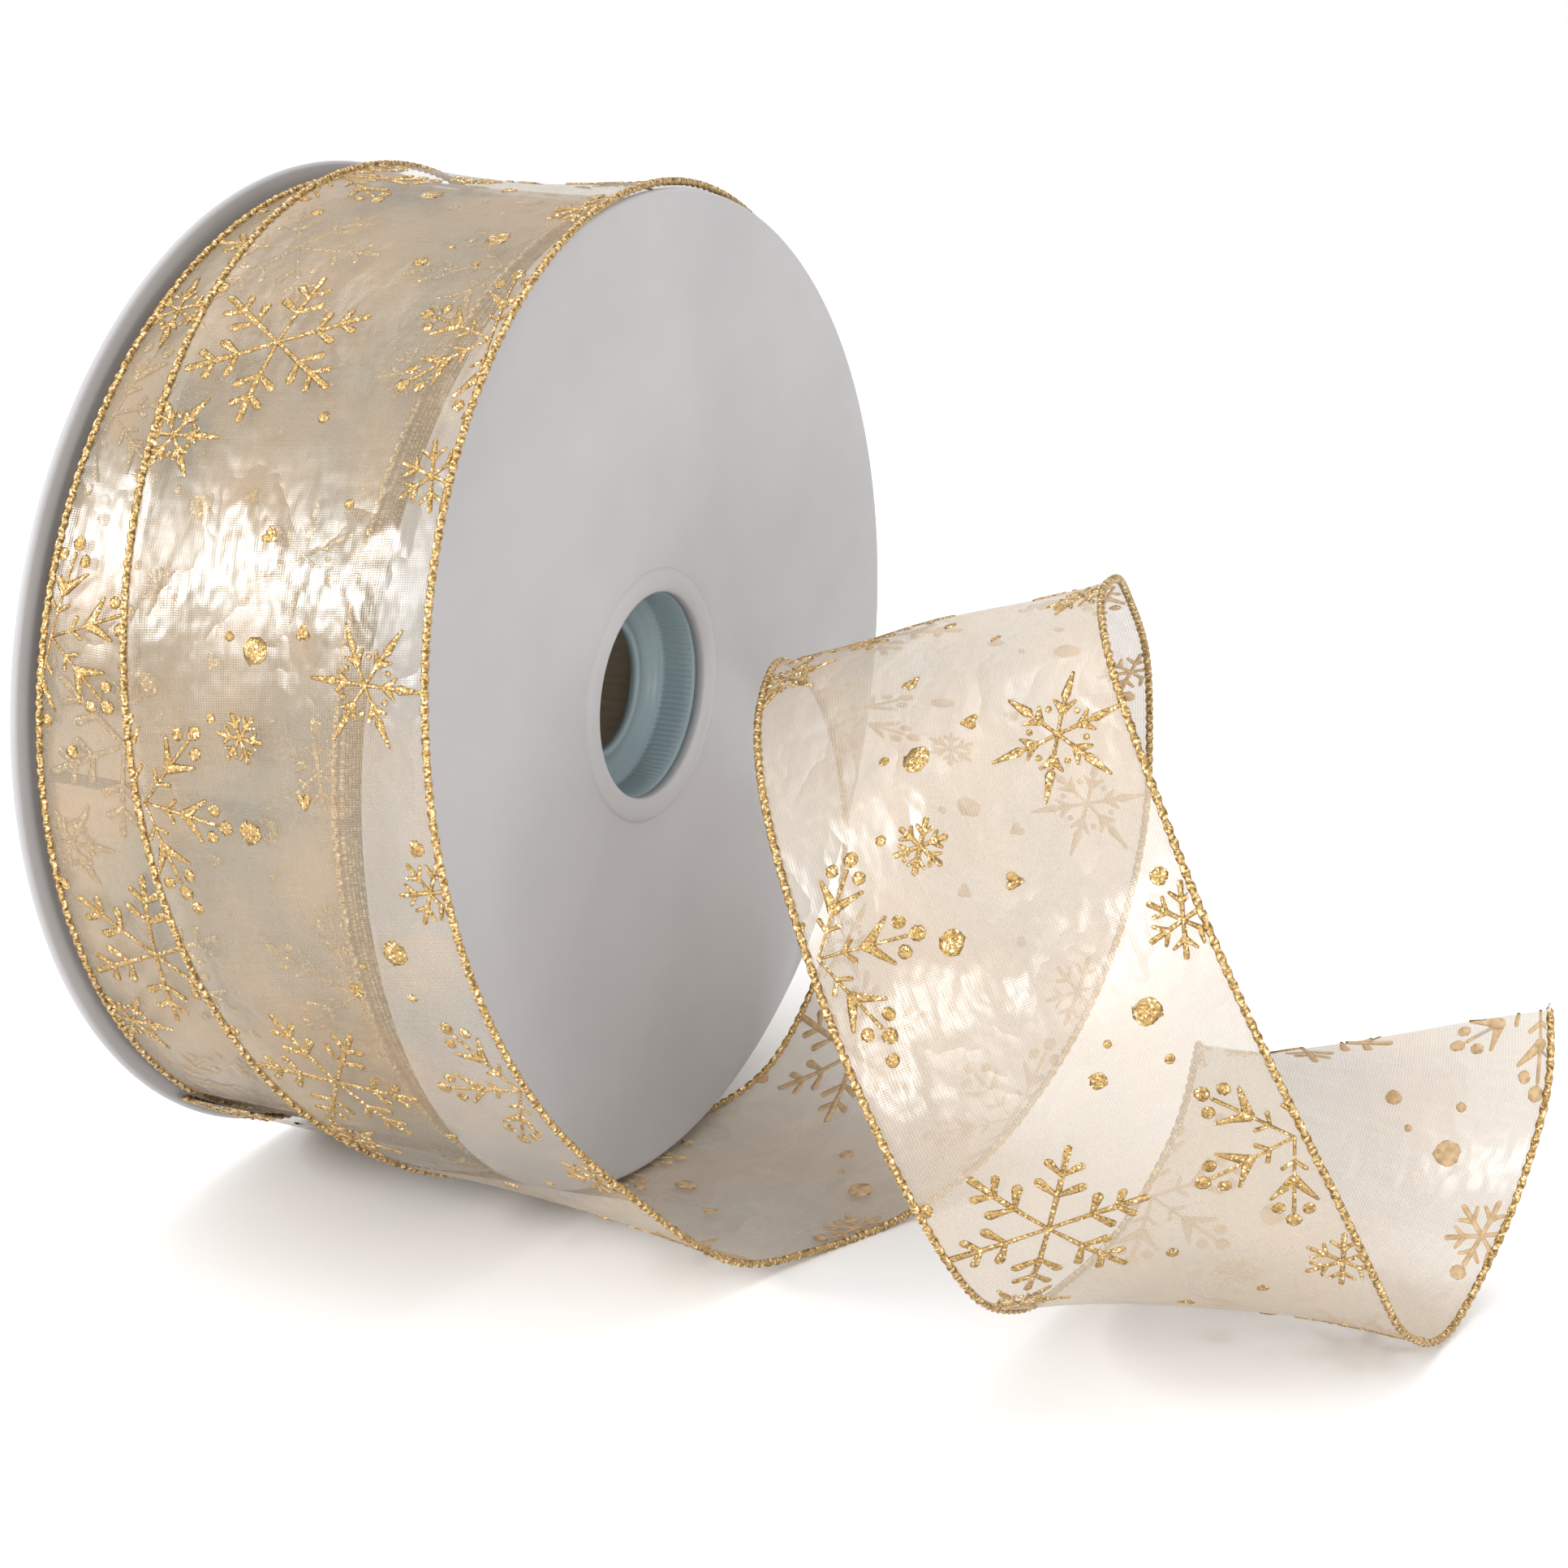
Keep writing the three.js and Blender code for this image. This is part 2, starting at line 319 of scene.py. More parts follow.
@dataclass(frozen=True)
class MouldedPlastic:
    """Satin injection-moulded plastic: faint flow marks in the colour and a fine spark grain."""

    name: str
    colour: Colour
    roughness: float = 0.42
    flow: float = 0.05
    grain: float = 0.45 * MM
    flow_marks: Vector = (28, 28, 28)
    gloss_marks: Vector = (90, 90, 90)

    def material(self) -> bpy.types.Material:
        """Colour is noise between a shade above and below; relief is fine noise on the grain."""
        graph = Graph(self.name)
        lighter = tuple(min(1.0, part * (1 + self.flow)) for part in self.colour)
        darker = tuple(part * (1 - self.flow) for part in self.colour)
        flow = graph.noise(graph.place(self.flow_marks), 4.0)
        graph.join(graph.ramp(flow, [(0.3, darker), (0.7, lighter)]), graph.surface.inputs["Base Color"])
        rough = graph.span(graph.noise(graph.place(self.gloss_marks), 3.0), 0.3, 0.7,
                           self.roughness - 0.06, self.roughness + 0.07)
        graph.join(rough, graph.surface.inputs["Roughness"])
        step = 1 / self.grain
        graph.bump(graph.noise(graph.place((step, step, step)), 2.0), 0.02 * MM, 0.5)
        graph.fixed(Specular_IOR_Level=0.3)
        return graph.material


@dataclass(frozen=True)
class SheerSatin:
    """Organza with a satin face: fine crossed threads, crinkles that catch the light, and gaps."""

    name: str
    pale: Colour
    warm: Colour
    cover: float
    thread_pitch: float = 0.42 * MM
    crinkle: float = 2.7 * MM
    patch: float = 30 * MM
    gloss: float = 0.24
    shine: float = 2.1
    slub_grain: Vector = (900, 60, 1)
    crinkle_grain: Vector = (42, 64, 1)

    def material(self) -> bpy.types.Material:
        """Two crossed sine waves make the weave, which drives relief and how much shows through."""
        graph = Graph(self.name)
        lay = graph.place(by_cloth=True)
        along, across, _ = graph.node("SeparateXYZ", {0: lay}).outputs
        turns = 2 * math.pi / self.thread_pitch
        weft = graph.maths("SINE", graph.maths("MULTIPLY", along, turns))
        warp = graph.maths("SINE", graph.maths("MULTIPLY", across, turns * 0.8))
        weave = graph.maths("ADD", weft, warp)
        step = 1 / self.patch
        patches = graph.noise(graph.place((step, 1.4 * step, step), by_cloth=True), 2.0)
        colour = graph.ramp(patches, [(0.36, self.pale), (0.64, self.warm)])
        graph.join(colour, graph.surface.inputs["Base Color"])
        slubs = graph.noise(graph.place(self.slub_grain, by_cloth=True), 3.0)
        cover = graph.maths("ADD", graph.span(weave, -2, 2, self.cover - 0.16, self.cover + 0.16),
                            graph.span(slubs, 0.3, 0.7, -0.03, 0.03))
        graph.join(graph.span(cover, 0, 1), graph.surface.inputs["Alpha"])
        broad = graph.noise(graph.place(self.crinkle_grain, by_cloth=True), 3.0)
        gloss = graph.span(broad, 0.40, 0.60, self.gloss, self.gloss + 0.16)
        graph.join(gloss, graph.surface.inputs["Roughness"])
        crease = graph.maths("ABSOLUTE", graph.maths("SUBTRACT", broad, 0.5))
        graph.bump(crease, self.crinkle, 1.0)
        graph.bump(slubs, 0.02 * MM, 0.5)
        graph.bump(weave, 0.004 * MM, 0.7)
        graph.fixed(IOR=self.shine)
        return graph.material


@dataclass(frozen=True)
class MetalThread:
    """Metallic yarn wrapped on the slant: gold ridges, painted shade for the hollows and scattered painted
    glints.
    """

    name: str
    shaded_hollow: Colour
    ridge: Colour
    painted_glint: Colour
    speck_grain: Vector = (1900, 1100, 1)
    fibre_grain: Vector = (3200, 1800, 1)

    def material(self) -> bpy.types.Material:
        """Colour runs from a painted-shade brown through gold to a near-white painted highlight, by fine
        noise laid along the thread.
        """
        graph = Graph(self.name)
        shade_glint_noise = graph.noise(graph.place(self.speck_grain, by_cloth=True), 2.0)
        # The darkest stop is painted shade in the hollows and the near-white stop is painted glints.
        colour = graph.ramp(shade_glint_noise, [(0.36, self.shaded_hollow), (0.52, self.ridge), (0.68, self.painted_glint)])
        graph.join(colour, graph.surface.inputs["Base Color"])
        rough = graph.span(shade_glint_noise, 0.35, 0.7, 0.5, 0.2)
        graph.join(rough, graph.surface.inputs["Roughness"])
        graph.bump(graph.noise(graph.place(self.fibre_grain, by_cloth=True), 1.0), 0.22 * MM, 0.8)
        graph.fixed(Metallic=0.85)
        return graph.material


@dataclass(frozen=True)
class Glitter:
    """Glitter stuck on with glue: random tilted chips, coloured from painted-shade brown through gold to
    near-white painted glints.
    """

    name: str
    shaded_chip: Colour
    gold: Colour
    spark: Colour
    chip: float = 0.38 * MM
    tilt_grain: Vector = (2600, 2600, 1)

    def material(self) -> bpy.types.Material:
        """Each cell of a fine cell pattern takes its own colour, the darkest and the near-white ones being
        painted shade and painted glints; noise tilts the surface.
        """
        graph = Graph(self.name)
        step = 1 / self.chip
        place = graph.place((step, step, 1), by_cloth=True)
        cells = graph.node("TexVoronoi", {"Vector": place, "Scale": 1.0})
        tone = graph.node("SeparateColor", {0: cells.outputs["Color"]}).outputs[0]
        # The first stop is painted shade of chips turned away and the last stop is painted glints of chips
        # facing the light.
        colour = graph.ramp(tone, [(0.0, self.shaded_chip), (0.5, self.gold), (0.85, self.gold), (0.95, self.spark)])
        graph.join(colour, graph.surface.inputs["Base Color"])
        graph.join(graph.span(tone, 0, 1, 0.45, 0.22), graph.surface.inputs["Roughness"])
        graph.bump(graph.noise(graph.place(self.tilt_grain, by_cloth=True), 1.0), 0.25 * MM, 0.9)
        graph.fixed(Metallic=0.8)
        return graph.material


@dataclass(frozen=True)
class PrintBack:
    """The print's back, seen through the cloth: tan glue with a soaked, uneven edge."""

    name: str
    light: Colour
    dark: Colour
    soak_grain: Vector = (700, 700, 1)
    tooth_grain: Vector = (1500, 1500, 1)

    def material(self) -> bpy.types.Material:
        """Colour is soft noise on the cloth between two tans; relief is the same noise, finer."""
        graph = Graph(self.name)
        soak = graph.noise(graph.place(self.soak_grain, by_cloth=True), 3.0)
        colour = graph.ramp(soak, [(0.35, self.dark), (0.65, self.light)])
        graph.join(colour, graph.surface.inputs["Base Color"])
        graph.bump(graph.noise(graph.place(self.tooth_grain, by_cloth=True), 2.0), 0.08 * MM, 0.6)
        graph.fixed(Roughness=0.55)
        return graph.material


@dataclass(frozen=True)
class PaperBoard:
    """Grey-brown wound paper board: short fibres and a spiral seam."""

    name: str
    colour: Colour
    fibre_grain: Vector = (240, 900, 900)

    def material(self) -> bpy.types.Material:
        """Fibre noise stretched round the tube, in colour and relief."""
        graph = Graph(self.name)
        fibres = graph.noise(graph.place(self.fibre_grain), 4.0)
        darker = tuple(part * 0.8 for part in self.colour)
        colour = graph.ramp(fibres, [(0.3, darker), (0.7, self.colour)])
        graph.join(colour, graph.surface.inputs["Base Color"])
        graph.bump(fibres, 0.05 * MM, 0.6)
        graph.fixed(Roughness=0.85)
        return graph.material


@dataclass(frozen=True)
class ClearTape:
    """Clear tape gone slightly yellow, with trapped air bubbles."""

    name: str
    colour: Colour
    bubble_grain: Vector = (500, 500, 500)

    def material(self) -> bpy.types.Material:
        """Cells of bubbles change the gloss and the relief."""
        graph = Graph(self.name)
        bubbles = graph.noise(graph.place(self.bubble_grain), 2.0)
        lighter = tuple(min(1.0, part * 1.12) for part in self.colour)
        colour = graph.ramp(bubbles, [(0.4, self.colour), (0.6, lighter)])
        graph.join(colour, graph.surface.inputs["Base Color"])
        graph.join(graph.span(bubbles, 0.3, 0.7, 0.15, 0.4), graph.surface.inputs["Roughness"])
        graph.bump(bubbles, 0.05 * MM, 0.4)
        graph.fixed(Alpha=0.7)
        return graph.material


@dataclass(frozen=True)
class DrawnWire:
    """Soft steel wire with fine draw marks along it."""

    name: str
    colour: Colour
    mark_grain: Vector = (120, 5000, 1)

    def material(self) -> bpy.types.Material:
        """Noise stretched along the wire changes its gloss."""
        graph = Graph(self.name)
        marks = graph.noise(graph.place(self.mark_grain, by_cloth=True), 2.0)
        darker = tuple(part * 0.75 for part in self.colour)
        graph.join(graph.ramp(marks, [(0.3, darker), (0.7, self.colour)]), graph.surface.inputs["Base Color"])
        graph.join(graph.span(marks, 0.3, 0.7, 0.2, 0.4), graph.surface.inputs["Roughness"])
        graph.fixed(Metallic=1.0)
        return graph.material


@dataclass(frozen=True)
class StudioPaper:
    """The pale sheet that the spool stands on."""

    name: str = "studio_paper"
    shade: float = 0.95
    tooth_grain: Vector = (400, 400, 400)

    def material(self) -> bpy.types.Material:
        """Very faint paper tooth on an almost white ground."""
        graph = Graph(self.name)
        tooth = graph.noise(graph.place(self.tooth_grain), 2.0)
        low, high = (self.shade - 0.01,) * 3, (self.shade,) * 3
        graph.join(graph.ramp(tooth, [(0.3, low), (0.7, high)]), graph.surface.inputs["Base Color"])
        graph.fixed(Roughness=0.9)
        return graph.material


# ---- Where cloth lies --------------------------------------------------------------------------
# The outer turn goes once round the spool, in degrees from the top. Its lead angle, and so its
# drift towards +X, grows with the square of the angle turned.
TURN_START = -216
TURN_END = 144
TURN_STEP = 18
CLEAR_OF_RIMS = -40
LEAD_AT_TOP = 4
LEAD_AT_END = 17
DRIFT_AT_START = -2.5 * MM

# The rest of the way, given in metres from below the spool's middle: the strip's middle
# as x, y, z, then the direction of its width as degrees turned about Z and degrees raised.
LOOSE_END = [
    (0.048, -0.032, 0.0045, -18, 2),
    (0.055, -0.010, 0.0010, -19, 0),
    (0.063, 0.012, 0.0016, -19, 0),
    (0.070, 0.032, 0.0080, -19, 0),
    (0.076, 0.048, 0.0260, -14, -5),
    (0.080, 0.055, 0.0470, -4, -8),
    (0.084, 0.051, 0.0690, 9, -6),
    (0.088, 0.040, 0.0880, 18, 1),
    (0.094, 0.023, 0.1030, 22, 8),
    (0.099, 0.004, 0.1150, 23, 12),
    (0.106, -0.017, 0.1220, 23, 17),
    (0.114, -0.039, 0.1210, 22, 23),
    (0.125, -0.057, 0.1130, 21, 26),
    (0.138, -0.068, 0.0960, 22, 25),
    (0.149, -0.071, 0.0760, 24, 25),
    (0.158, -0.067, 0.0550, 25, 25),
    (0.164, -0.057, 0.0350, 20, 23),
    (0.166, -0.041, 0.0190, 9, 15),
    (0.166, -0.022, 0.0080, 2, 3),
    (0.167, 0.000, 0.0050, 0, -7),
    (0.169, 0.020, 0.0160, 2, -11),
    (0.174, 0.021, 0.0360, 17, -9),
    (0.179, 0.010, 0.0500, 34, 7),
]


def ease(value: np.ndarray, low: float, high: float) -> np.ndarray:
    """A smooth step from 0 at `low` to 1 at `high`."""
    share = np.clip((value - low) / (high - low), 0, 1)
    return share * share * (3 - 2 * share)


@dataclass
class Route:
    """The way of the outer turn and the loose end: a smooth line and the strip's width across it."""

    sizes: Sizes = SIZES
    centres: np.ndarray = field(init=False)
    acrosses: np.ndarray = field(init=False)
    lengths: np.ndarray = field(init=False)
    places: np.ndarray = field(init=False)
    samples: int = 9000
    turn_sag: float = 2.4 * MM

    def __post_init__(self) -> None:
        """Lays out the stations and measures the line between them."""
        turn_centres, turn_acrosses = self.turn_stations()
        loose = np.array(LOOSE_END, dtype=float)
        yaw, rise = np.radians(loose[:, 3]), np.radians(loose[:, 4])
        loose_across = np.stack([np.cos(rise) * np.cos(yaw), np.cos(rise) * np.sin(yaw), np.sin(rise)], -1)
        floor_line = SPOOL_CENTRE - (0, 0, self.sizes.axis_height)
        self.centres = np.vstack([turn_centres, loose[:, :3]]) + floor_line
        self.acrosses = np.vstack([turn_acrosses, loose_across])
        self.places = np.linspace(0, len(self.centres) - 1, self.samples)
        line = self.blend(self.centres, self.places)
        steps = np.linalg.norm(np.diff(line, axis=0), axis=1)
        self.lengths = np.concatenate([[0], np.cumsum(steps)])

    def turn_stations(self) -> tuple[np.ndarray, np.ndarray]:
        """Centres and width directions of the outer turn's stations.

        Returns:
            Two arrays of vectors. A centre is on a circle round the axis that swells from the
            wound turns to clear of the rims; the width leans by the lead angle.
        """
        turn = np.arange(TURN_START, TURN_END + 1, TURN_STEP, dtype=float)
        first = self.sizes.wound_radius + 4 * self.sizes.gap + self.sizes.strip_thickness / 2
        last = self.sizes.flange_radius + self.sizes.gap + 0.2 * MM + self.sizes.strip_thickness / 2
        radius = first + (last - first) * ease(turn, TURN_START, CLEAR_OF_RIMS)
        angle, lead = np.radians(turn), self.lead(turn)
        steps = radius * np.tan(self.lead(turn + TURN_STEP / 2)) * math.radians(TURN_STEP)
        drift = DRIFT_AT_START + np.concatenate([[0], np.cumsum(steps)[:-1]])
        height = self.sizes.axis_height + radius * np.cos(angle)
        centres = np.stack([drift, -radius * np.sin(angle), height], -1)
        acrosses = np.stack([np.cos(lead), np.sin(lead) * np.cos(angle), np.sin(lead) * np.sin(angle)], -1)
        return centres, acrosses

    def lead(self, turn: np.ndarray) -> np.ndarray:
        """The lead angle in radians: it rises with the square of the share of the turn gone."""
        before = LEAD_AT_TOP * (1 - turn / TURN_START) ** 2
        after = LEAD_AT_TOP + (LEAD_AT_END - LEAD_AT_TOP) * (turn / TURN_END) ** 2
        return np.radians(np.where(turn < 0, before, after))

    @staticmethod
    def blend(stations: np.ndarray, places: np.ndarray, slope: bool = False) -> np.ndarray:
        """Values between stations by the uniform cubic that passes through each of them.

        Args:
            stations: One vector a station.
            places: Where to read, counted in stations.
            slope: Whether the rate of change is wanted instead.

        Returns:
            One vector a place.
        """
        first, last = 2 * stations[0] - stations[1], 2 * stations[-1] - stations[-2]
        padded = np.vstack([first, stations, last])
        index = np.clip(np.floor(places).astype(int), 0, len(stations) - 2)
        part = (places - index)[..., None]
        a, b, c, d = (padded[index + step] for step in range(4))
        if slope:
            return ((c - a) + 2 * (2 * a - 5 * b + 4 * c - d) * part
                    + 3 * (3 * b - a - 3 * c + d) * part ** 2) / 2
        return (2 * b + (c - a) * part + (2 * a - 5 * b + 4 * c - d) * part ** 2
                + (3 * b - a - 3 * c + d) * part ** 3) / 2

    def length_at(self, place: float) -> float:
        """The length of ribbon from the start of the outer turn to a place counted in stations."""
        return float(np.interp(place, self.places, self.lengths))

    def frames(self, along: np.ndarray) -> tuple[np.ndarray, np.ndarray, np.ndarray]:
        """The strip's middle, width direction and outward direction at lengths along it."""
        place = np.interp(along, self.lengths, self.places)
        centre = self.blend(self.centres, place)
        across = self.blend(self.acrosses, place)
        across /= np.linalg.norm(across, axis=-1, keepdims=True)
        out = np.cross(self.blend(self.centres, place, slope=True), across)
        out /= np.linalg.norm(out, axis=-1, keepdims=True)
        return centre, across, out

    def point(self, along: np.ndarray, side: np.ndarray, height: np.ndarray | float = 0.0) -> np.ndarray:
        """Points on the strip: middle, plus `side` across, plus height and ripple, less the sag."""
        centre, across, out = self.frames(along)
        flat = centre + across * side[..., None]
        lift = height + self.ripple(along, side) - self.sag(along, flat[..., 0])
        return flat + out * lift[..., None]

    def sag(self, along: np.ndarray, x: np.ndarray) -> np.ndarray:
        """How far the outer turn sinks between the rims: one minus the square of the place there."""
        rim = self.sizes.half_spool - self.sizes.flange_thickness - 1 * MM
        between = np.clip(1 - ((x - SPOOL_CENTRE[0]) / rim) ** 2, 0, 1)
        lifted = ease(along, self.length_at(3), self.length_at(9))
        leaving = ease(along, self.length_at(16), self.length_at(20))
        return self.turn_sag * between * lifted * (1 - leaving)

    def ripple(self, along: np.ndarray, side: np.ndarray) -> np.ndarray:
        """Slow waves of the cloth between its wired edges, larger where it hangs free."""
        share = np.clip(1 - (side / self.sizes.half_ribbon) ** 2, 0, 1)
        loose = ease(along, self.length_at(21), self.length_at(25))
        near_floor = 1 - 0.7 * ease(along, self.length_at(36), self.length_at(38))
        size = (0.16 + 0.75 * loose * near_floor) * MM
        wave = np.sin(along / (9.5 * MM) + side / (13 * MM))
        wave = wave + 0.6 * np.sin(along / (5.2 * MM) - side / (8 * MM) + 1.3)
        return size * share * wave * 0.6


@dataclass
class Winding:
    """One turn wound on the spool: a spiral about the axis that grows slowly outwards."""

    radius: float
    growth: float = 0.5 * MM
    start: float = math.radians(TURN_START)
    drift: float = 0.0
    wander: float = 0.35 * MM
    sizes: Sizes = SIZES

    @property
    def length(self) -> float:
        """The length of ribbon in the turn."""
        return 2 * math.pi * (self.radius + self.growth / 2)

    def point(self, along: np.ndarray, side: np.ndarray, height: np.ndarray | float = 0.0) -> np.ndarray:
        """Points at a radius that grows with the angle, with slack ripples and a sideways wander."""
        share = along / self.length
        angle = self.start + 2 * math.pi * share
        slack = np.sin(7 * angle + side / (11 * MM)) + 0.7 * np.sin(17 * angle - side / (19 * MM) + 2)
        between = np.clip(1 - (side / self.sizes.half_ribbon) ** 2, 0, 1)
        radius = self.radius + self.growth * share + 0.12 * MM * slack * between + height
        offset = self.drift + self.wander * np.sin(3 * angle + 0.8)
        x = np.broadcast_to(offset + side, radius.shape)
        return SPOOL_CENTRE + np.stack([x, -radius * np.sin(angle), radius * np.cos(angle)], -1)


# ---- The print ---------------------------------------------------------------------------------
class Motif(Enum):
    """The printed shapes."""

    TWIGS = "six arms with rounded twigs"
    FORKS = "six arms with forked ends and dots between them"
    LEAVES = "six thin arms with leaf pairs and a berry at each tip"
    STAR = "a small star"
    HEART = "a small heart"
    DOT = "a round dot"


@dataclass(frozen=True)
class Strokes:
    """Rounded strokes in a motif's own plane: two ends each, and the half width at each end."""

    starts: np.ndarray
    ends: np.ndarray
    halves: np.ndarray

    @staticmethod
    def of(rows: Sequence[Sequence[float]]) -> "Strokes":
        """Strokes from rows of start x, y, end x, y and the half widths at start and end."""
        table = np.array(rows, dtype=float)
        return Strokes(table[:, :2], table[:, 2:4], table[:, 4:6])

    def turned(self, angle: float) -> "Strokes":
        """The same strokes turned about the motif's middle."""
        turn = np.array([[math.cos(angle), -math.sin(angle)], [math.sin(angle), math.cos(angle)]])
        return Strokes(self.starts @ turn.T, self.ends @ turn.T, self.halves)

    def round(self, arms: int) -> "Strokes":
        """The strokes of one arm repeated round the middle."""
        turned = [self.turned(2 * math.pi * arm / arms) for arm in range(arms)]
        return Strokes(*(np.concatenate([getattr(each, part) for each in turned])
                         for part in ("starts", "ends", "halves")))


def arm_with(radius: float, stem: tuple[float, float], pairs: Sequence[Sequence[float]]) -> list:
    """Rows of one arm: a stem along x, and pairs of side strokes.

    Args:
        radius: The arm's length.
        stem: The stem's half widths at the middle and at the tip.
        pairs: For each pair its root as a share of the arm, length as a share of it, angle from
            the stem in degrees, and half widths at root and tip in millimetres.

    Returns:
        The strokes' rows.
    """
    rows = [(0.0, 0.0, radius, 0.0, stem[0] * MM, stem[1] * MM)]
    for root, length, degrees, at_root, at_tip in pairs:
        for side in (1, -1):
            reach = length * radius
            x = root * radius + reach * math.cos(math.radians(degrees))
            y = side * reach * math.sin(math.radians(degrees))
            rows.append((root * radius, 0.0, x, y, at_root * MM, at_tip * MM))
    return rows


def dot_at(x: float, y: float, radius: float) -> tuple[float, ...]:
    """The row of a round dot: a stroke with almost no length."""
    return (x, y, x + 0.05 * MM, y, radius, radius)


def strokes_of(motif: Motif, radius: float) -> Strokes:
    """The strokes of one motif of a given radius, in metres."""
    if motif is Motif.TWIGS:
        pairs = [(0.44, 0.25, 56, 0.34, 0.92), (0.70, 0.20, 52, 0.40, 0.78)]
        return Strokes.of(arm_with(0.95 * radius, (0.36, 0.72), pairs)).round(6)
    if motif is Motif.FORKS:
        pairs = [(0.56, 0.32, 48, 0.82, 0.26)]
        rows = arm_with(0.66 * radius, (0.30, 0.42), pairs)
        rows.append((0.60 * radius, 0.0, 0.98 * radius, 0.0, 0.85 * MM, 0.28 * MM))
        between = 0.42 * radius
        rows.append(dot_at(between * math.cos(math.pi / 6), between * math.sin(math.pi / 6), 0.55 * MM))
        return Strokes.of(rows).round(6)
    if motif is Motif.LEAVES:
        pairs = [(0.56, 0.36, 44, 1.00, 0.30), (0.30, 0.16, 50, 0.30, 0.42)]
        rows = arm_with(0.86 * radius, (0.26, 0.34), pairs)
        rows.append(dot_at(0.97 * radius, 0.0, 1.35 * MM))
        rows += [dot_at(0.82 * radius, side * 0.14 * radius, 1.15 * MM) for side in (1, -1)]
        return Strokes.of(rows).round(6)
    if motif is Motif.STAR:
        return Strokes.of(arm_with(radius, (0.34, 0.5), [(0.50, 0.40, 50, 0.5, 0.3)])).round(6)
    if motif is Motif.HEART:
        lobe = 0.55 * radius
        rows = [(0.0, -radius, side * lobe, 0.45 * radius, 0.25 * radius, 0.62 * radius) for side in (1, -1)]
        return Strokes.of(rows)
    return Strokes.of([dot_at(0.0, 0.0, radius)])


# One repeat of the print: millimetres along and across from the middle, then the
# motif, its radius in millimetres and how far it is turned in degrees.
REPEAT = 142.75 * MM
REPEAT_PRINT = [
    (132.5, -13.5, Motif.TWIGS, 17.6, 8),
    (132.5, 29.5, Motif.LEAVES, 17.5, 20),
    (54.5, 19.5, Motif.FORKS, 11.6, 14),
    (74.5, -29.5, Motif.LEAVES, 17.5, 5),
    (63.5, -7.5, Motif.STAR, 4.4, 10),
    (90.5, 28.0, Motif.STAR, 6.0, 25),
    (18.0, 27.5, Motif.STAR, 6.5, 0),
    (10.0, -27.0, Motif.FORKS, 9.0, 20),
    (102.0, 17.0, Motif.DOT, 2.4, 0),
    (48.5, -4.0, Motif.DOT, 2.5, 0),
    (80.0, -8.0, Motif.DOT, 2.2, 0),
    (109.8, 5.0, Motif.DOT, 1.5, 0),
    (111.0, 17.0, Motif.DOT, 0.9, 0),
    (104.5, 9.0, Motif.DOT, 0.7, 0),
    (45.5, 6.0, Motif.HEART, 1.3, 200),
    (46.0, -9.5, Motif.DOT, 0.9, 0),
    (28.5, -3.0, Motif.HEART, 1.4, 80),
    (23.0, 12.0, Motif.DOT, 1.0, 0),
    (74.5, 5.0, Motif.HEART, 1.3, 20),
    (82.5, 27.0, Motif.DOT, 1.5, 0),
    (60.0, -13.5, Motif.DOT, 0.9, 0),
    (6.0, 2.0, Motif.DOT, 1.1, 0),
    (94.0, -24.0, Motif.DOT, 1.2, 0),
    (120.0, -30.0, Motif.DOT, 1.4, 0),
]

# Places along and round one stroke. Along it, the first and last two are on its round ends, as
# shares of the half width, and the rest are shares of the way between its two ends. Round it,
# five places cross its crowned front and three come back over its flat back.
END_SHARES = np.array([1.0, 0.68])
BODY_SHARES = np.array([0.0, 0.5, 1.0])
FRONT_SHARES = np.array([-1.0, -0.55, 0.0, 0.55, 1.0])
BACK_SHARES = np.array([0.9, 0.0, -0.9])
CROSS_SHARES = np.concatenate([FRONT_SHARES, BACK_SHARES])


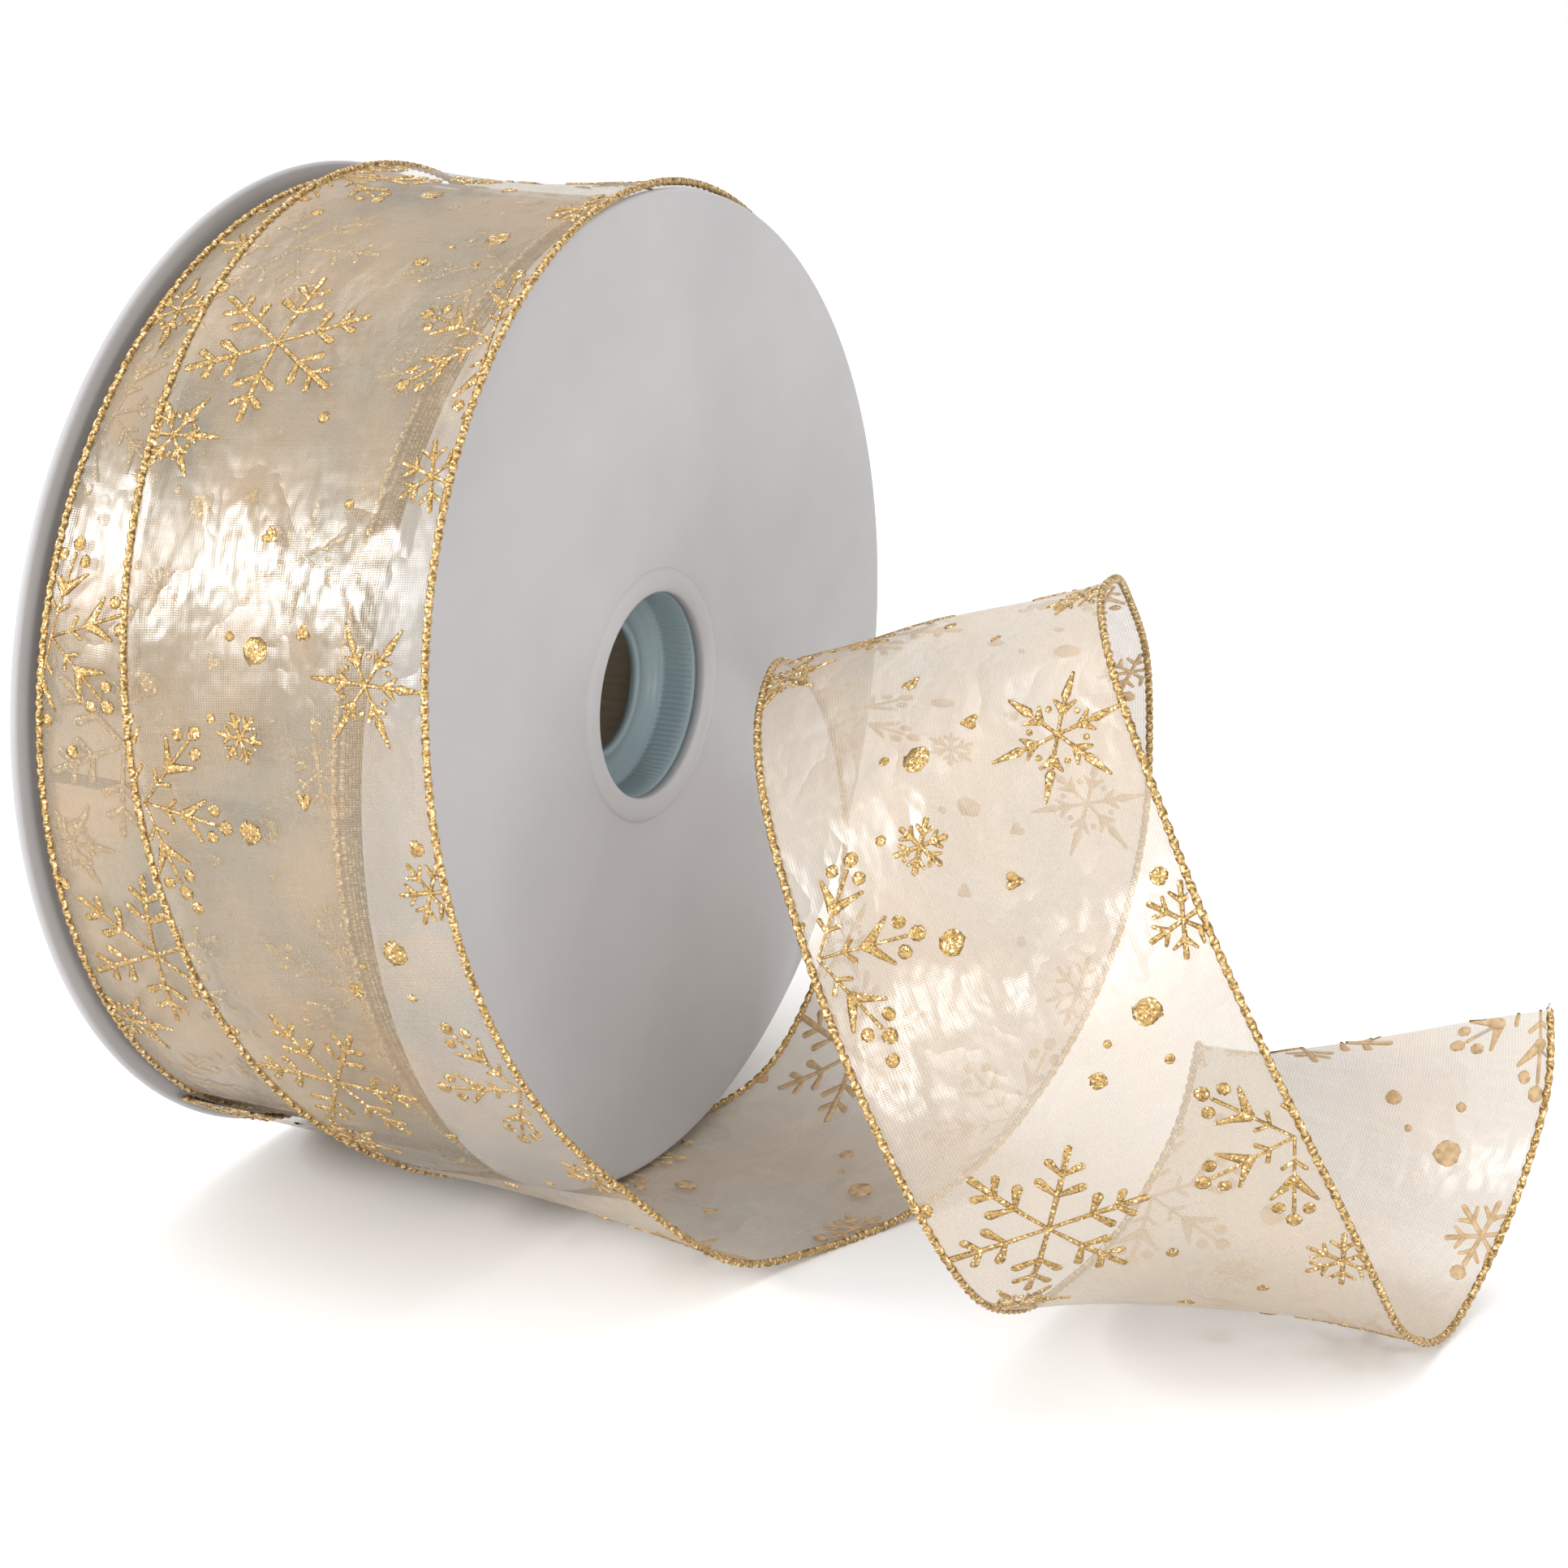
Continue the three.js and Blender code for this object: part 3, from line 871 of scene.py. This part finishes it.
@dataclass
class Print:
    """Raised glitter on a stretch of cloth."""

    cloth: Route | Winding
    start: float
    end: float
    shift: float = 0.0
    rise: float = 0.24 * MM
    lift: float = 0.08 * MM
    back_depth: float = 0.09 * MM
    ragged: float = 0.16
    edge_margin: float = 0.7 * MM
    turn_each_repeat: float = 23
    seed: int = 7
    sizes: Sizes = SIZES

    def strokes(self) -> Strokes:
        """All the strokes of the repeats that touch the stretch, in lengths along and across."""
        groups: list[Strokes] = []
        first = math.floor((self.start - self.shift) / REPEAT) - 1
        last = math.ceil((self.end - self.shift) / REPEAT)
        for repeat in range(first, last + 1):
            for along, across, motif, radius, degrees in REPEAT_PRINT:
                turn = math.radians(degrees + self.turn_each_repeat * repeat)
                shape = strokes_of(motif, radius * MM).turned(turn)
                middle = np.array([self.shift + repeat * REPEAT + along * MM, across * MM])
                groups.append(Strokes(shape.starts + middle, shape.ends + middle, shape.halves))
        return Strokes(*(np.concatenate([getattr(group, part) for group in groups])
                         for part in ("starts", "ends", "halves")))

    def piece(self, name: str, front: bpy.types.Material, back: bpy.types.Material) -> bpy.types.Object:
        """Lays every stroke through the cloth as a low crowned grid and drops what is off its edge.

        Args:
            name: The piece's name.
            front: The finish of the crowned glitter.
            back: The finish of the flat glue on the cloth's other side.

        Returns:
            The piece. A stroke's half width follows a circle over its round ends, shaken a little
            by seeded chance and tapered between its ends, and its crown is one minus the square
            of the place across it.
        """
        strokes = self.strokes()
        chance = np.random.default_rng(self.seed)
        way = strokes.ends - strokes.starts
        reach = np.linalg.norm(way, axis=1)
        way /= reach[:, None]
        sideways = np.stack([-way[:, 1], way[:, 0]], -1)
        first, second = strokes.halves[:, :1], strokes.halves[:, 1:]
        head = -first * END_SHARES
        tail = reach[:, None] + second * END_SHARES[::-1]
        axial = np.concatenate([head, reach[:, None] * BODY_SHARES, tail], axis=1)
        round_off = np.sqrt(1 - np.clip(END_SHARES - 0.02, 0, 1) ** 2)
        width = np.concatenate([round_off, np.ones(len(BODY_SHARES)), round_off[::-1]])
        along_body = np.concatenate([np.zeros(len(END_SHARES)), BODY_SHARES, np.ones(len(END_SHARES))])
        half = first + (second - first) * along_body
        shake = 1 + self.ragged * chance.uniform(-1, 1, (len(half), len(width), len(CROSS_SHARES)))
        sides = (half * width)[..., None] * CROSS_SHARES * shake
        lay = (strokes.starts[:, None, None] + axial[..., None, None] * way[:, None, None]
               + sides[..., None] * sideways[:, None, None])
        crown = (1 - FRONT_SHARES ** 2) * width[:, None] * self.rise + self.lift
        flat_back = np.full((len(width), len(BACK_SHARES)), -self.back_depth)
        height = np.broadcast_to(np.concatenate([crown, flat_back], axis=1), lay.shape[:3])
        piece = self.mesh(name, self.cloth.point(lay[..., 0], lay[..., 1], height), lay)
        piece.data.materials.append(front)
        piece.data.materials.append(back)
        return piece

    def mesh(self, name: str, points: np.ndarray, lay: np.ndarray) -> bpy.types.Object:
        """One mesh of the faces that are off the ribbon's edge cords and middle in the stretch.

        Args:
            name: The piece's name.
            points: The corners, by stroke, place along it and place round it.
            lay: The same corners' lengths along and across the cloth.

        Returns:
            The piece, with its back faces in the second material slot.
        """
        count, rows, columns = points.shape[:3]
        numbers = np.arange(count * rows * columns).reshape(count, rows, columns)
        after = np.roll(numbers, -1, axis=2)
        quads = np.stack([numbers[:, :-1], numbers[:, 1:], after[:, 1:], after[:, :-1]], -1)
        on_back = np.broadcast_to(np.arange(columns) >= len(FRONT_SHARES) - 1, quads.shape[:3]).ravel()
        quads = quads.reshape(-1, 4)
        along, across = (lay[..., part].ravel()[quads] for part in (0, 1))
        middle = along.mean(axis=1)
        kept = (middle >= self.start) & (middle < self.end)
        kept &= (np.abs(across) < self.sizes.half_ribbon - self.edge_margin).all(axis=1)
        quads, on_back = quads[kept], on_back[kept]
        used, corners = np.unique(quads, return_inverse=True)
        faces = corners.reshape(-1, 4).tolist()
        piece = link_mesh(name, points.reshape(-1, 3)[used], faces, lay.reshape(-1, 2)[used])
        piece.data.polygons.foreach_set("material_index", on_back.astype(np.int32))
        return piece


# ---- Ribbon ------------------------------------------------------------------------------------
@dataclass
class RibbonLength:
    """A stretch of ribbon: its cloth, the gold cord on each edge, the wires in them, and its print."""

    name: str
    cloth: Route | Winding
    start: float
    end: float
    finishes: "Finishes"
    row_step: float = 1.1 * MM
    columns: int = 33
    cord_radius: float = 0.74 * MM
    cord_step: float = 0.24 * MM
    cord_sides: int = 10
    cord_inset: float = 0.6 * MM
    wrap_pitch: float = 2.5 * MM
    wire_radius: float = 0.2 * MM
    wire_step: float = 2 * MM
    wire_sides: int = 6
    wire_overrun: float = 1.2 * MM
    sizes: Sizes = SIZES

    @property
    def edge_line(self) -> float:
        """How far the edge cord's middle is from the ribbon's middle."""
        return self.sizes.half_ribbon - self.cord_inset

    def cloth_piece(self) -> bpy.types.Object:
        """The cloth on an even grid along and across the stretch."""
        rows = max(8, round((self.end - self.start) / self.row_step))
        along, side = np.meshgrid(
            np.linspace(self.start, self.end, rows + 1),
            np.linspace(-self.edge_line, self.edge_line, self.columns),
            indexing="ij",
        )
        lay = np.stack([along, side], -1)
        patch = Patch(self.cloth.point(along, side), lay, turned_over=True)
        return make_piece(self.name + "_cloth", [patch])

    def tube(self, line: float, radius: Callable[[np.ndarray, np.ndarray], np.ndarray],
             step: float, sides: int, overrun: float = 0.0) -> Patch:
        """A closed tube along one edge.

        Args:
            line: Its distance from the ribbon's middle, positive on the near side.
            radius: The tube's radius from the length along it and the angle round it.
            step: The distance between its rings.
            sides: The points round a ring.
            overrun: How far it pokes out past the end of the stretch.

        Returns:
            Rings of points on the cloth's own across and outward directions.
        """
        rows = max(8, round((self.end + overrun - self.start) / step))
        along, angle = np.meshgrid(
            np.linspace(self.start, self.end + overrun, rows + 1),
            np.linspace(0, 2 * math.pi, sides, endpoint=False),
            indexing="ij",
        )
        size = radius(along, angle)
        held = np.minimum(along, self.end)
        side = line + size * np.cos(angle)
        points = self.cloth.point(held, side, size * np.sin(angle))
        if overrun:
            ends = np.array([[self.end - 1 * MM, self.end]]).T
            tip = self.cloth.point(ends, np.full_like(ends, line))[:, 0]
            heading = (tip[1] - tip[0]) / np.linalg.norm(tip[1] - tip[0])
            points = points + (along - held)[..., None] * heading
        lay = np.stack([along, angle * radius(along, angle * 0).mean()], -1)
        return Patch(points, lay, close_columns=True, capped=True)

    def plain(self, along: np.ndarray, angle: np.ndarray) -> np.ndarray:
        """The wire's radius, the same all along."""
        return np.full_like(along, self.wire_radius)

    def wrapped(self, along: np.ndarray, angle: np.ndarray) -> np.ndarray:
        """The cord's radius: two slanted wraps, with turns that are a little uneven."""
        uneven = 0.25 * np.sin(along / (3.1 * MM)) + 0.2 * np.sin(along / (1.9 * MM) + 1)
        wrap = np.cos(2 * angle - 2 * math.pi * along / self.wrap_pitch + uneven)
        return self.cord_radius * (0.88 + 0.17 * wrap)

    def edges(self) -> dict[str, bpy.types.Object]:
        """The gold cord and the wire of each edge, by name."""
        made: dict[str, bpy.types.Object] = {}
        for side_name, line in (("far", -self.edge_line), ("near", self.edge_line)):
            cord = self.tube(line, self.wrapped, self.cord_step, self.cord_sides)
            made[f"{side_name}_cord"] = make_piece(f"{self.name}_{side_name}_edge_cord", [cord])
            wire = self.tube(line, self.plain, self.wire_step, self.wire_sides, self.wire_overrun)
            made[f"{side_name}_wire"] = make_piece(f"{self.name}_{side_name}_wire", [wire])
        return made

    def print_piece(self, shift: float, seed: int) -> bpy.types.Object:
        """The glitter print on the stretch."""
        glitter = Print(self.cloth, self.start, self.end, shift, seed=seed)
        return glitter.piece(self.name + "_print", self.finishes.glitter, self.finishes.glue)


@dataclass
class Finishes:
    """Every material of the object, made once."""

    flange: bpy.types.Material = field(default_factory=lambda: MouldedPlastic(
        "flange_plastic", (0.405, 0.395, 0.40)).material())
    hub: bpy.types.Material = field(default_factory=lambda: MouldedPlastic(
        "hub_plastic", (0.25, 0.315, 0.335), roughness=0.36).material())
    board: bpy.types.Material = field(default_factory=lambda: PaperBoard(
        "core_board", (0.48, 0.40, 0.29)).material())
    tape: bpy.types.Material = field(default_factory=lambda: ClearTape(
        "tape", (0.72, 0.68, 0.55)).material())
    wire: bpy.types.Material = field(default_factory=lambda: DrawnWire(
        "edge_wire", (0.55, 0.55, 0.56)).material())
    wound: bpy.types.Material = field(default_factory=lambda: SheerSatin(
        "wound_organza", (0.29, 0.235, 0.155), (0.46, 0.29, 0.145), 1.2).material())
    # The turns' cloth is the loose ribbon's cloth coloured darker: painted shade for the cloth on the spool.
    turn: bpy.types.Material = field(default_factory=lambda: SheerSatin(
        "turn_organza_painted_shade", (0.29, 0.25, 0.18), (0.44, 0.315, 0.185), 0.47).material())
    loose: bpy.types.Material = field(default_factory=lambda: SheerSatin(
        "loose_organza", (0.43, 0.365, 0.285), (0.48, 0.375, 0.27), 0.66).material())
    # The cord's first and last colours are painted shade and painted glints.
    cord: bpy.types.Material = field(default_factory=lambda: MetalThread(
        "gold_cord", (0.17, 0.10, 0.035), (0.50, 0.32, 0.12), (1.0, 0.80, 0.48)).material())
    # The glitter's first and last colours are painted shade and painted glints.
    glitter: bpy.types.Material = field(default_factory=lambda: Glitter(
        "gold_glitter", (0.22, 0.135, 0.05), (0.48, 0.31, 0.115), (1.0, 0.80, 0.48)).material())
    glue: bpy.types.Material = field(default_factory=lambda: PrintBack(
        "glitter_back", (0.60, 0.42, 0.24), (0.42, 0.28, 0.14)).material())


@dataclass
class LooseRibbon:
    """The outer turn, the loop and the bent end."""

    finishes: Finishes
    route: Route = field(default_factory=Route)
    leave_place: float = 20.0
    split_place: float = 36.25
    before_fold: float = 9 * MM
    after_fold: float = 20 * MM

    def build(self) -> None:
        """Makes the three stretches and dresses them."""
        leave = self.route.length_at(self.leave_place)
        split = self.route.length_at(self.split_place)
        last = self.route.length_at(self.route.places[-1])
        turn = RibbonLength("outer_turn", self.route, 0.0, leave, self.finishes)
        loop = RibbonLength("loop", self.route, leave, split, self.finishes)
        end = RibbonLength("bent_end", self.route, split, last, self.finishes)
        self.dress_stretch(turn, self.finishes.turn, ["outer_turn"], 11)
        self.dress_stretch(loop, self.finishes.loose, ["loose_tail"], 12)
        self.dress_stretch(end, self.finishes.loose, ["ribbon_end"], 13)

    def dress_stretch(self, stretch: RibbonLength, cloth_finish: bpy.types.Material,
                      solids: Sequence[str], seed: int) -> None:
        """Makes one stretch's pieces and lets them ride on the free ribbon, or, for the bent end, bakes them
        in place.

        Args:
            stretch: The stretch of ribbon.
            cloth_finish: The cloth's material.
            solids: The CAD nodes that its cloth stands for.
            seed: The seed of its print's ragged edges.
        """
        bends = stretch.name == "bent_end"
        cloth = stretch.cloth_piece()
        made = stretch.edges()
        glitter = stretch.print_piece(0.0, seed)
        part = "end" if bends else "loose"
        dress(cloth, cloth_finish, None)
        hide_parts(*solids)
        for side in ("far", "near"):
            dress(made[side + "_cord"], self.finishes.cord, None)
            dress(made[side + "_wire"], self.finishes.wire, None)
            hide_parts(f"{part}_{side}_edge_thread")
            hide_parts(f"{part}_{side}_edge_wire")
        pieces = [cloth, glitter, *made.values()]
        for piece in pieces:
            if bends:
                self.bend(piece)
            else:
                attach(piece, "free_ribbon")
        LOG.info("%s: %.0f mm of ribbon in %d pieces", stretch.name,
                 (stretch.end - stretch.start) / MM, len(pieces))

    def bend(self, piece: bpy.types.Object) -> None:
        """Bakes a piece's place into its mesh and leaves it on no body."""
        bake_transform(piece)


# ---- The spool ---------------------------------------------------------------------------------
def turned_patch(outline: np.ndarray, segments: int,
                 ripple: Callable[[np.ndarray, np.ndarray], np.ndarray] | None = None,
                 mirrored: bool = False) -> Patch:
    """A closed outline turned about the spool's axis.

    Args:
        outline: Rows of place along the axis and radius, in order round the section.
        segments: The steps round.
        ripple: Radius to add, from the outline's index and the angle.
        mirrored: Whether it faces the far side.

    Returns:
        A grid that closes on itself both ways, with its faces outwards.
    """
    row, angle = np.meshgrid(
        np.arange(len(outline)),
        np.linspace(0, 2 * math.pi, segments, endpoint=False),
        indexing="ij",
    )
    along = outline[row, 0] * (-1 if mirrored else 1)
    radius = outline[row, 1] + (ripple(row, angle) if ripple else 0.0)
    points = SPOOL_CENTRE + np.stack([along, radius * np.cos(angle), radius * np.sin(angle)], -1)
    x, r = outline[:, 0], outline[:, 1]
    area = float(np.sum(x * np.roll(r, -1) - np.roll(x, -1) * r))
    return Patch(points, close_rows=True, close_columns=True, turned_over=(area > 0) != mirrored)


def arc_points(along: float, radius: float, size: float, start: float, end: float, steps: int) -> np.ndarray:
    """Points of a round corner, from one angle to another in degrees."""
    angle = np.radians(np.linspace(start, end, steps))
    return np.stack([along + size * np.cos(angle), radius + size * np.sin(angle)], -1)


@dataclass
class SpoolBody:
    """The two discs, their hub sockets and the core."""

    finishes: Finishes
    sizes: Sizes = SIZES
    rib_count: int = 112
    rib_depth: float = 0.42 * MM
    segments: int = 288

    def flange_outline(self) -> np.ndarray:
        """A thin disc with a rounded rim, a soft step inside the rim and a rolled lip at the bore."""
        sizes = self.sizes
        edge = sizes.flange_thickness / 2
        inside = sizes.half_spool - sizes.flange_thickness
        middle = (sizes.bore_radius + sizes.lip_radius) / 2
        half = (sizes.lip_radius - sizes.bore_radius) / 2
        angle = np.radians(np.linspace(180, 0, 15))
        rolled = sizes.half_spool + sizes.lip_height * np.sin(angle)
        lip = np.stack([rolled, middle + half * np.cos(angle)], -1)
        face = np.linspace(sizes.lip_radius + 0.5 * MM, sizes.flange_radius - 1.6 * MM, 24)
        sag = 0.05 * MM * np.sin((face - face[0]) / (face[-1] - face[0]) * math.pi)
        outer_face = np.stack([sizes.half_spool - sag, face], -1)
        rim = arc_points(sizes.half_spool - edge, sizes.flange_radius - edge, edge, 0, 180, 11)
        inwards = np.linspace(face[-1], sizes.bore_radius + 1 * MM, 12)
        inner_face = np.stack([np.full(12, inside), inwards], -1)
        bore = np.array([[inside, sizes.bore_radius]])
        return np.vstack([bore, lip, outer_face, rim, inner_face])

    def socket_outline(self) -> tuple[np.ndarray, np.ndarray]:
        """The cup in the end of the core, and which of its points carry the ribs.

        Returns:
            The outline, and a weight for each point: one on the ribbed wall, nothing elsewhere.
        """
        sizes = self.sizes
        step = sizes.half_spool - sizes.socket_depth
        wall_end = sizes.half_spool - sizes.flange_thickness - sizes.gap
        outside = sizes.bore_radius + sizes.socket_wall
        floor = np.array([
            [step - sizes.socket_wall, sizes.small_bore_radius],
            [step - 0.4 * MM, sizes.small_bore_radius],
            [step, sizes.small_bore_radius + 0.4 * MM],
            [step, sizes.small_bore_radius + 1.2 * MM],
            [step - 0.7 * MM, sizes.small_bore_radius + 2.0 * MM],
            [step - 0.8 * MM, sizes.bore_radius - 3.0 * MM],
            [step + 0.2 * MM, sizes.bore_radius - 1.9 * MM],
            [step + 0.9 * MM, sizes.bore_radius - 1.5 * MM],
            [step + 1.3 * MM, sizes.bore_radius - 0.7 * MM],
        ])
        up_wall = np.linspace(step + 1.6 * MM, wall_end - 0.8 * MM, 8)
        wall = np.stack([up_wall, np.full(8, sizes.bore_radius)], -1)
        back = np.array([
            [wall_end, sizes.bore_radius + 0.1 * MM],
            [wall_end, outside],
            [step - sizes.socket_wall, outside],
        ])
        outline = np.vstack([floor, wall, back])
        weight = np.zeros(len(outline))
        weight[len(floor) + 1:len(floor) + len(wall) - 1] = 1
        return outline, weight

    def build(self) -> None:
        """Makes the discs and sockets and gives the core and its tape their finishes."""
        outline, ribbed = self.socket_outline()

        def ribs(row: np.ndarray, angle: np.ndarray) -> np.ndarray:
            """Rows of rounded ribs that stand in from the wall."""
            return -self.rib_depth * ribbed[row] * (0.5 + 0.5 * np.cos(self.rib_count * angle))

        for end, mirrored in (("near", False), ("far", True)):
            face = turned_patch(self.flange_outline(), self.segments, None, mirrored)
            disc = make_piece(f"{end}_disc", [face])
            dress(disc, self.finishes.flange, "spool")
            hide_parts(f"{end}_flange")
            cup = turned_patch(outline, 6 * self.rib_count, ribs, mirrored)
            socket = make_piece(f"{end}_ribbed_socket", [cup])
            dress(socket, self.finishes.hub, "spool")
            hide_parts(f"{end}_hub_socket")
            LOG.info("%s disc and socket", end)
        self.dress_node("core_tube", self.finishes.board)
        self.dress_node("start_tape", self.finishes.tape)

    def dress_node(self, name: str, material: bpy.types.Material) -> None:
        """Gives a CAD node that stays its finish."""
        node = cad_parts[name]
        if not node.material_slots:
            node.data.materials.append(material)
        for place in node.material_slots:
            place.material = material


@dataclass
class WoundRibbon:
    """The wound turns: a ridged pack with the last turns of cloth over it."""

    finishes: Finishes
    sizes: Sizes = SIZES
    turn_pitch: float = 1.05 * MM
    ridged_turns: int = 16
    points_a_turn: int = 6
    segments: int = 240
    pack_radius: float = 90.0 * MM
    to_far_side: float = 1.6 * MM

    def pack_outline(self) -> np.ndarray:
        """A ring whose sides are stepped by the cords of the turns: a row of half waves."""
        half = self.sizes.half_ribbon
        count = self.ridged_turns * self.points_a_turn
        step = self.turn_pitch / self.points_a_turn
        down = self.pack_radius - 0.3 * MM - step * np.arange(count)
        wave = np.abs(np.sin(math.pi * np.arange(count) / self.points_a_turn))
        side = half - 0.75 * MM + 0.6 * MM * wave
        near = np.stack([side, down], -1)
        across = np.linspace(-(half - 1.2 * MM), half - 1.2 * MM, 41)
        outer = np.stack([across, np.full(41, self.pack_radius)], -1)
        far = near[::-1] * (-1, 1)
        inner = np.array([
            [half - 0.75 * MM, self.sizes.wound_inside],
            [-(half - 0.75 * MM), self.sizes.wound_inside],
        ])
        return np.vstack([far, outer, near, inner])

    def dress_sides(self, pack: bpy.types.Object) -> None:
        """Gives the pack's two stepped sides, which are stacked edge cords, the cord's finish."""
        pack.data.materials.append(self.finishes.cord)
        centres = np.empty(3 * len(pack.data.polygons), dtype=np.float32)
        pack.data.polygons.foreach_get("center", centres)
        reach = np.abs(centres[0::3] - SPOOL_CENTRE[0] + self.to_far_side)
        on_side = reach > self.sizes.half_ribbon - 1.0 * MM
        pack.data.polygons.foreach_set("material_index", on_side.astype(np.int32))

    def build(self) -> None:
        """Makes the pack and the last wound turn, with its print and edges."""
        outline = self.pack_outline()
        patch = turned_patch(outline, self.segments)
        offset = patch.points - SPOOL_CENTRE
        angle = np.arctan2(offset[..., 2], offset[..., 1])
        depth = np.hypot(offset[..., 1], offset[..., 2])
        patch.points[..., 0] -= self.to_far_side
        patch.lay = np.stack([(angle + math.pi) * self.pack_radius, offset[..., 0] + depth], -1)
        pack = make_piece("wound_turns", [patch])
        dress(pack, self.finishes.wound, "spool")
        self.dress_sides(pack)
        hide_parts("wound_ribbon")
        under = Winding(self.pack_radius + 0.15 * MM, 0.1 * MM, drift=-self.to_far_side)
        under_glitter = Print(under, 0.0, under.length, 0.4 * REPEAT, rise=0.1 * MM, seed=31)
        under_print = under_glitter.piece("under_print", self.finishes.glitter, self.finishes.glue)
        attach(under_print, "spool")
        last = Winding(self.sizes.wound_radius - 0.35 * MM, drift=-self.to_far_side)
        stretch = RibbonLength("last_turn", last, 0.0, last.length, self.finishes)
        cloth = stretch.cloth_piece()
        dress(cloth, self.finishes.turn, "spool")
        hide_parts("last_wound_turn")
        glitter = stretch.print_piece(0.72 * REPEAT, 32)
        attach(glitter, "spool")
        made = stretch.edges()
        for side in ("far", "near"):
            dress(made[side + "_cord"], self.finishes.cord, "spool")
            dress(made[side + "_wire"], self.finishes.wire, "spool")
            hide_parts(f"last_turn_{side}_edge")
        LOG.info("wound turns, with %.0f mm in the last one", last.length / MM)


# ---- Studio ------------------------------------------------------------------------------------
# Each soft light: its name, its place and the length of its side in metres, and its watts.
SOFTBOXES = [
    ("left_softbox", (-0.87, -0.87, 0.64), 0.32, 9.0),
    ("front_softbox", (0.38, -1.22, 0.14), 0.20, 2.3),
    ("right_softbox", (1.3, -0.75, 0.06), 0.5, 9.0),
    ("top_softbox", (-0.2, 0.1, 1.5), 1.2, 9.0),
]


@dataclass
class Studio:
    """The floor, the soft lights and the camera."""

    azimuth: float = 28.22
    elevation: float = 17.42
    distance: float = 0.7224
    aim_right: float = 0.05797
    aim_up: float = -0.02196
    focal_length: float = 86.55
    sensor: float = 36.0
    floor_reach: float = 9.0
    light_aim: Vector = (0.4, 1, 0.8)

    def build(self) -> None:
        """Makes everything that isn't part of the object."""
        self.floor()
        self.lights()
        self.camera()

    def floor(self) -> None:
        """A wide, flat, pale floor."""
        reach = self.floor_reach
        grid = np.array([[[-reach, -reach, 0], [reach, -reach, 0]], [[-reach, reach, 0], [reach, reach, 0]]])
        floor = make_piece("studio_floor", [Patch(grid.astype(float), turned_over=True)], smooth=False)
        floor.data.materials.append(StudioPaper().material())

    def lights(self) -> None:
        """Small softboxes left and in front for the sheen, wide ones right and above, a white room."""
        scene = bpy.context.scene
        world = bpy.data.worlds.new("white_room")
        world.use_nodes = True
        room = world.node_tree.nodes["Background"].inputs
        room["Color"].default_value = (1.0, 0.995, 0.99, 1)
        room["Strength"].default_value = 1.0
        scene.world = world
        for name, place, size, power in SOFTBOXES:
            self.softbox(name, place, size, power)
        scene.view_settings.view_transform = "Standard"
        scene.view_settings.look = "None"

    def softbox(self, name: str, place: Vector, size: float, power: float) -> None:
        """One square area light that points at the spool."""
        data = bpy.data.lights.new(name, "AREA")
        data.size = size
        data.energy = power
        light = bpy.data.objects.new(name, data)
        light.location = place
        aim = SPOOL_CENTRE * self.light_aim - np.array(place)
        light.rotation_euler = look_along(aim)
        bpy.context.scene.collection.objects.link(light)

    def camera(self) -> None:
        """A camera at an azimuth and elevation from a point beside the spool's centre."""
        turn, rise = math.radians(self.azimuth), math.radians(self.elevation)
        back = np.array([math.sin(turn) * math.cos(rise), -math.cos(turn) * math.cos(rise), math.sin(rise)])
        right = np.array([math.cos(turn), math.sin(turn), 0.0])
        up = np.cross(back, right)
        data = bpy.data.cameras.new("camera")
        data.lens = self.focal_length
        data.sensor_width = self.sensor
        data.clip_start = 0.01
        data.clip_end = 100
        camera = bpy.data.objects.new("camera", data)
        camera.location = SPOOL_CENTRE + self.distance * back + self.aim_right * right + self.aim_up * up
        camera.rotation_euler = look_along(-back)
        bpy.context.scene.collection.objects.link(camera)
        bpy.context.scene.camera = camera


def look_along(direction: Sequence[float]) -> Vector:
    """Turns that point an object's -Z along a direction with its X level."""
    x, y, z = (float(part) for part in direction)
    return (math.pi / 2 + math.atan2(z, math.hypot(x, y)), 0.0, math.atan2(-x, y))


def main() -> None:
    """Builds the studio and the object."""
    logging.basicConfig(level=logging.INFO, format="%(name)s: %(message)s")
    Studio().build()
    finishes = Finishes()
    SpoolBody(finishes).build()
    WoundRibbon(finishes).build()
    LooseRibbon(finishes).build()
    LOG.info("boxes written")


if __name__ == "__main__":
    main()
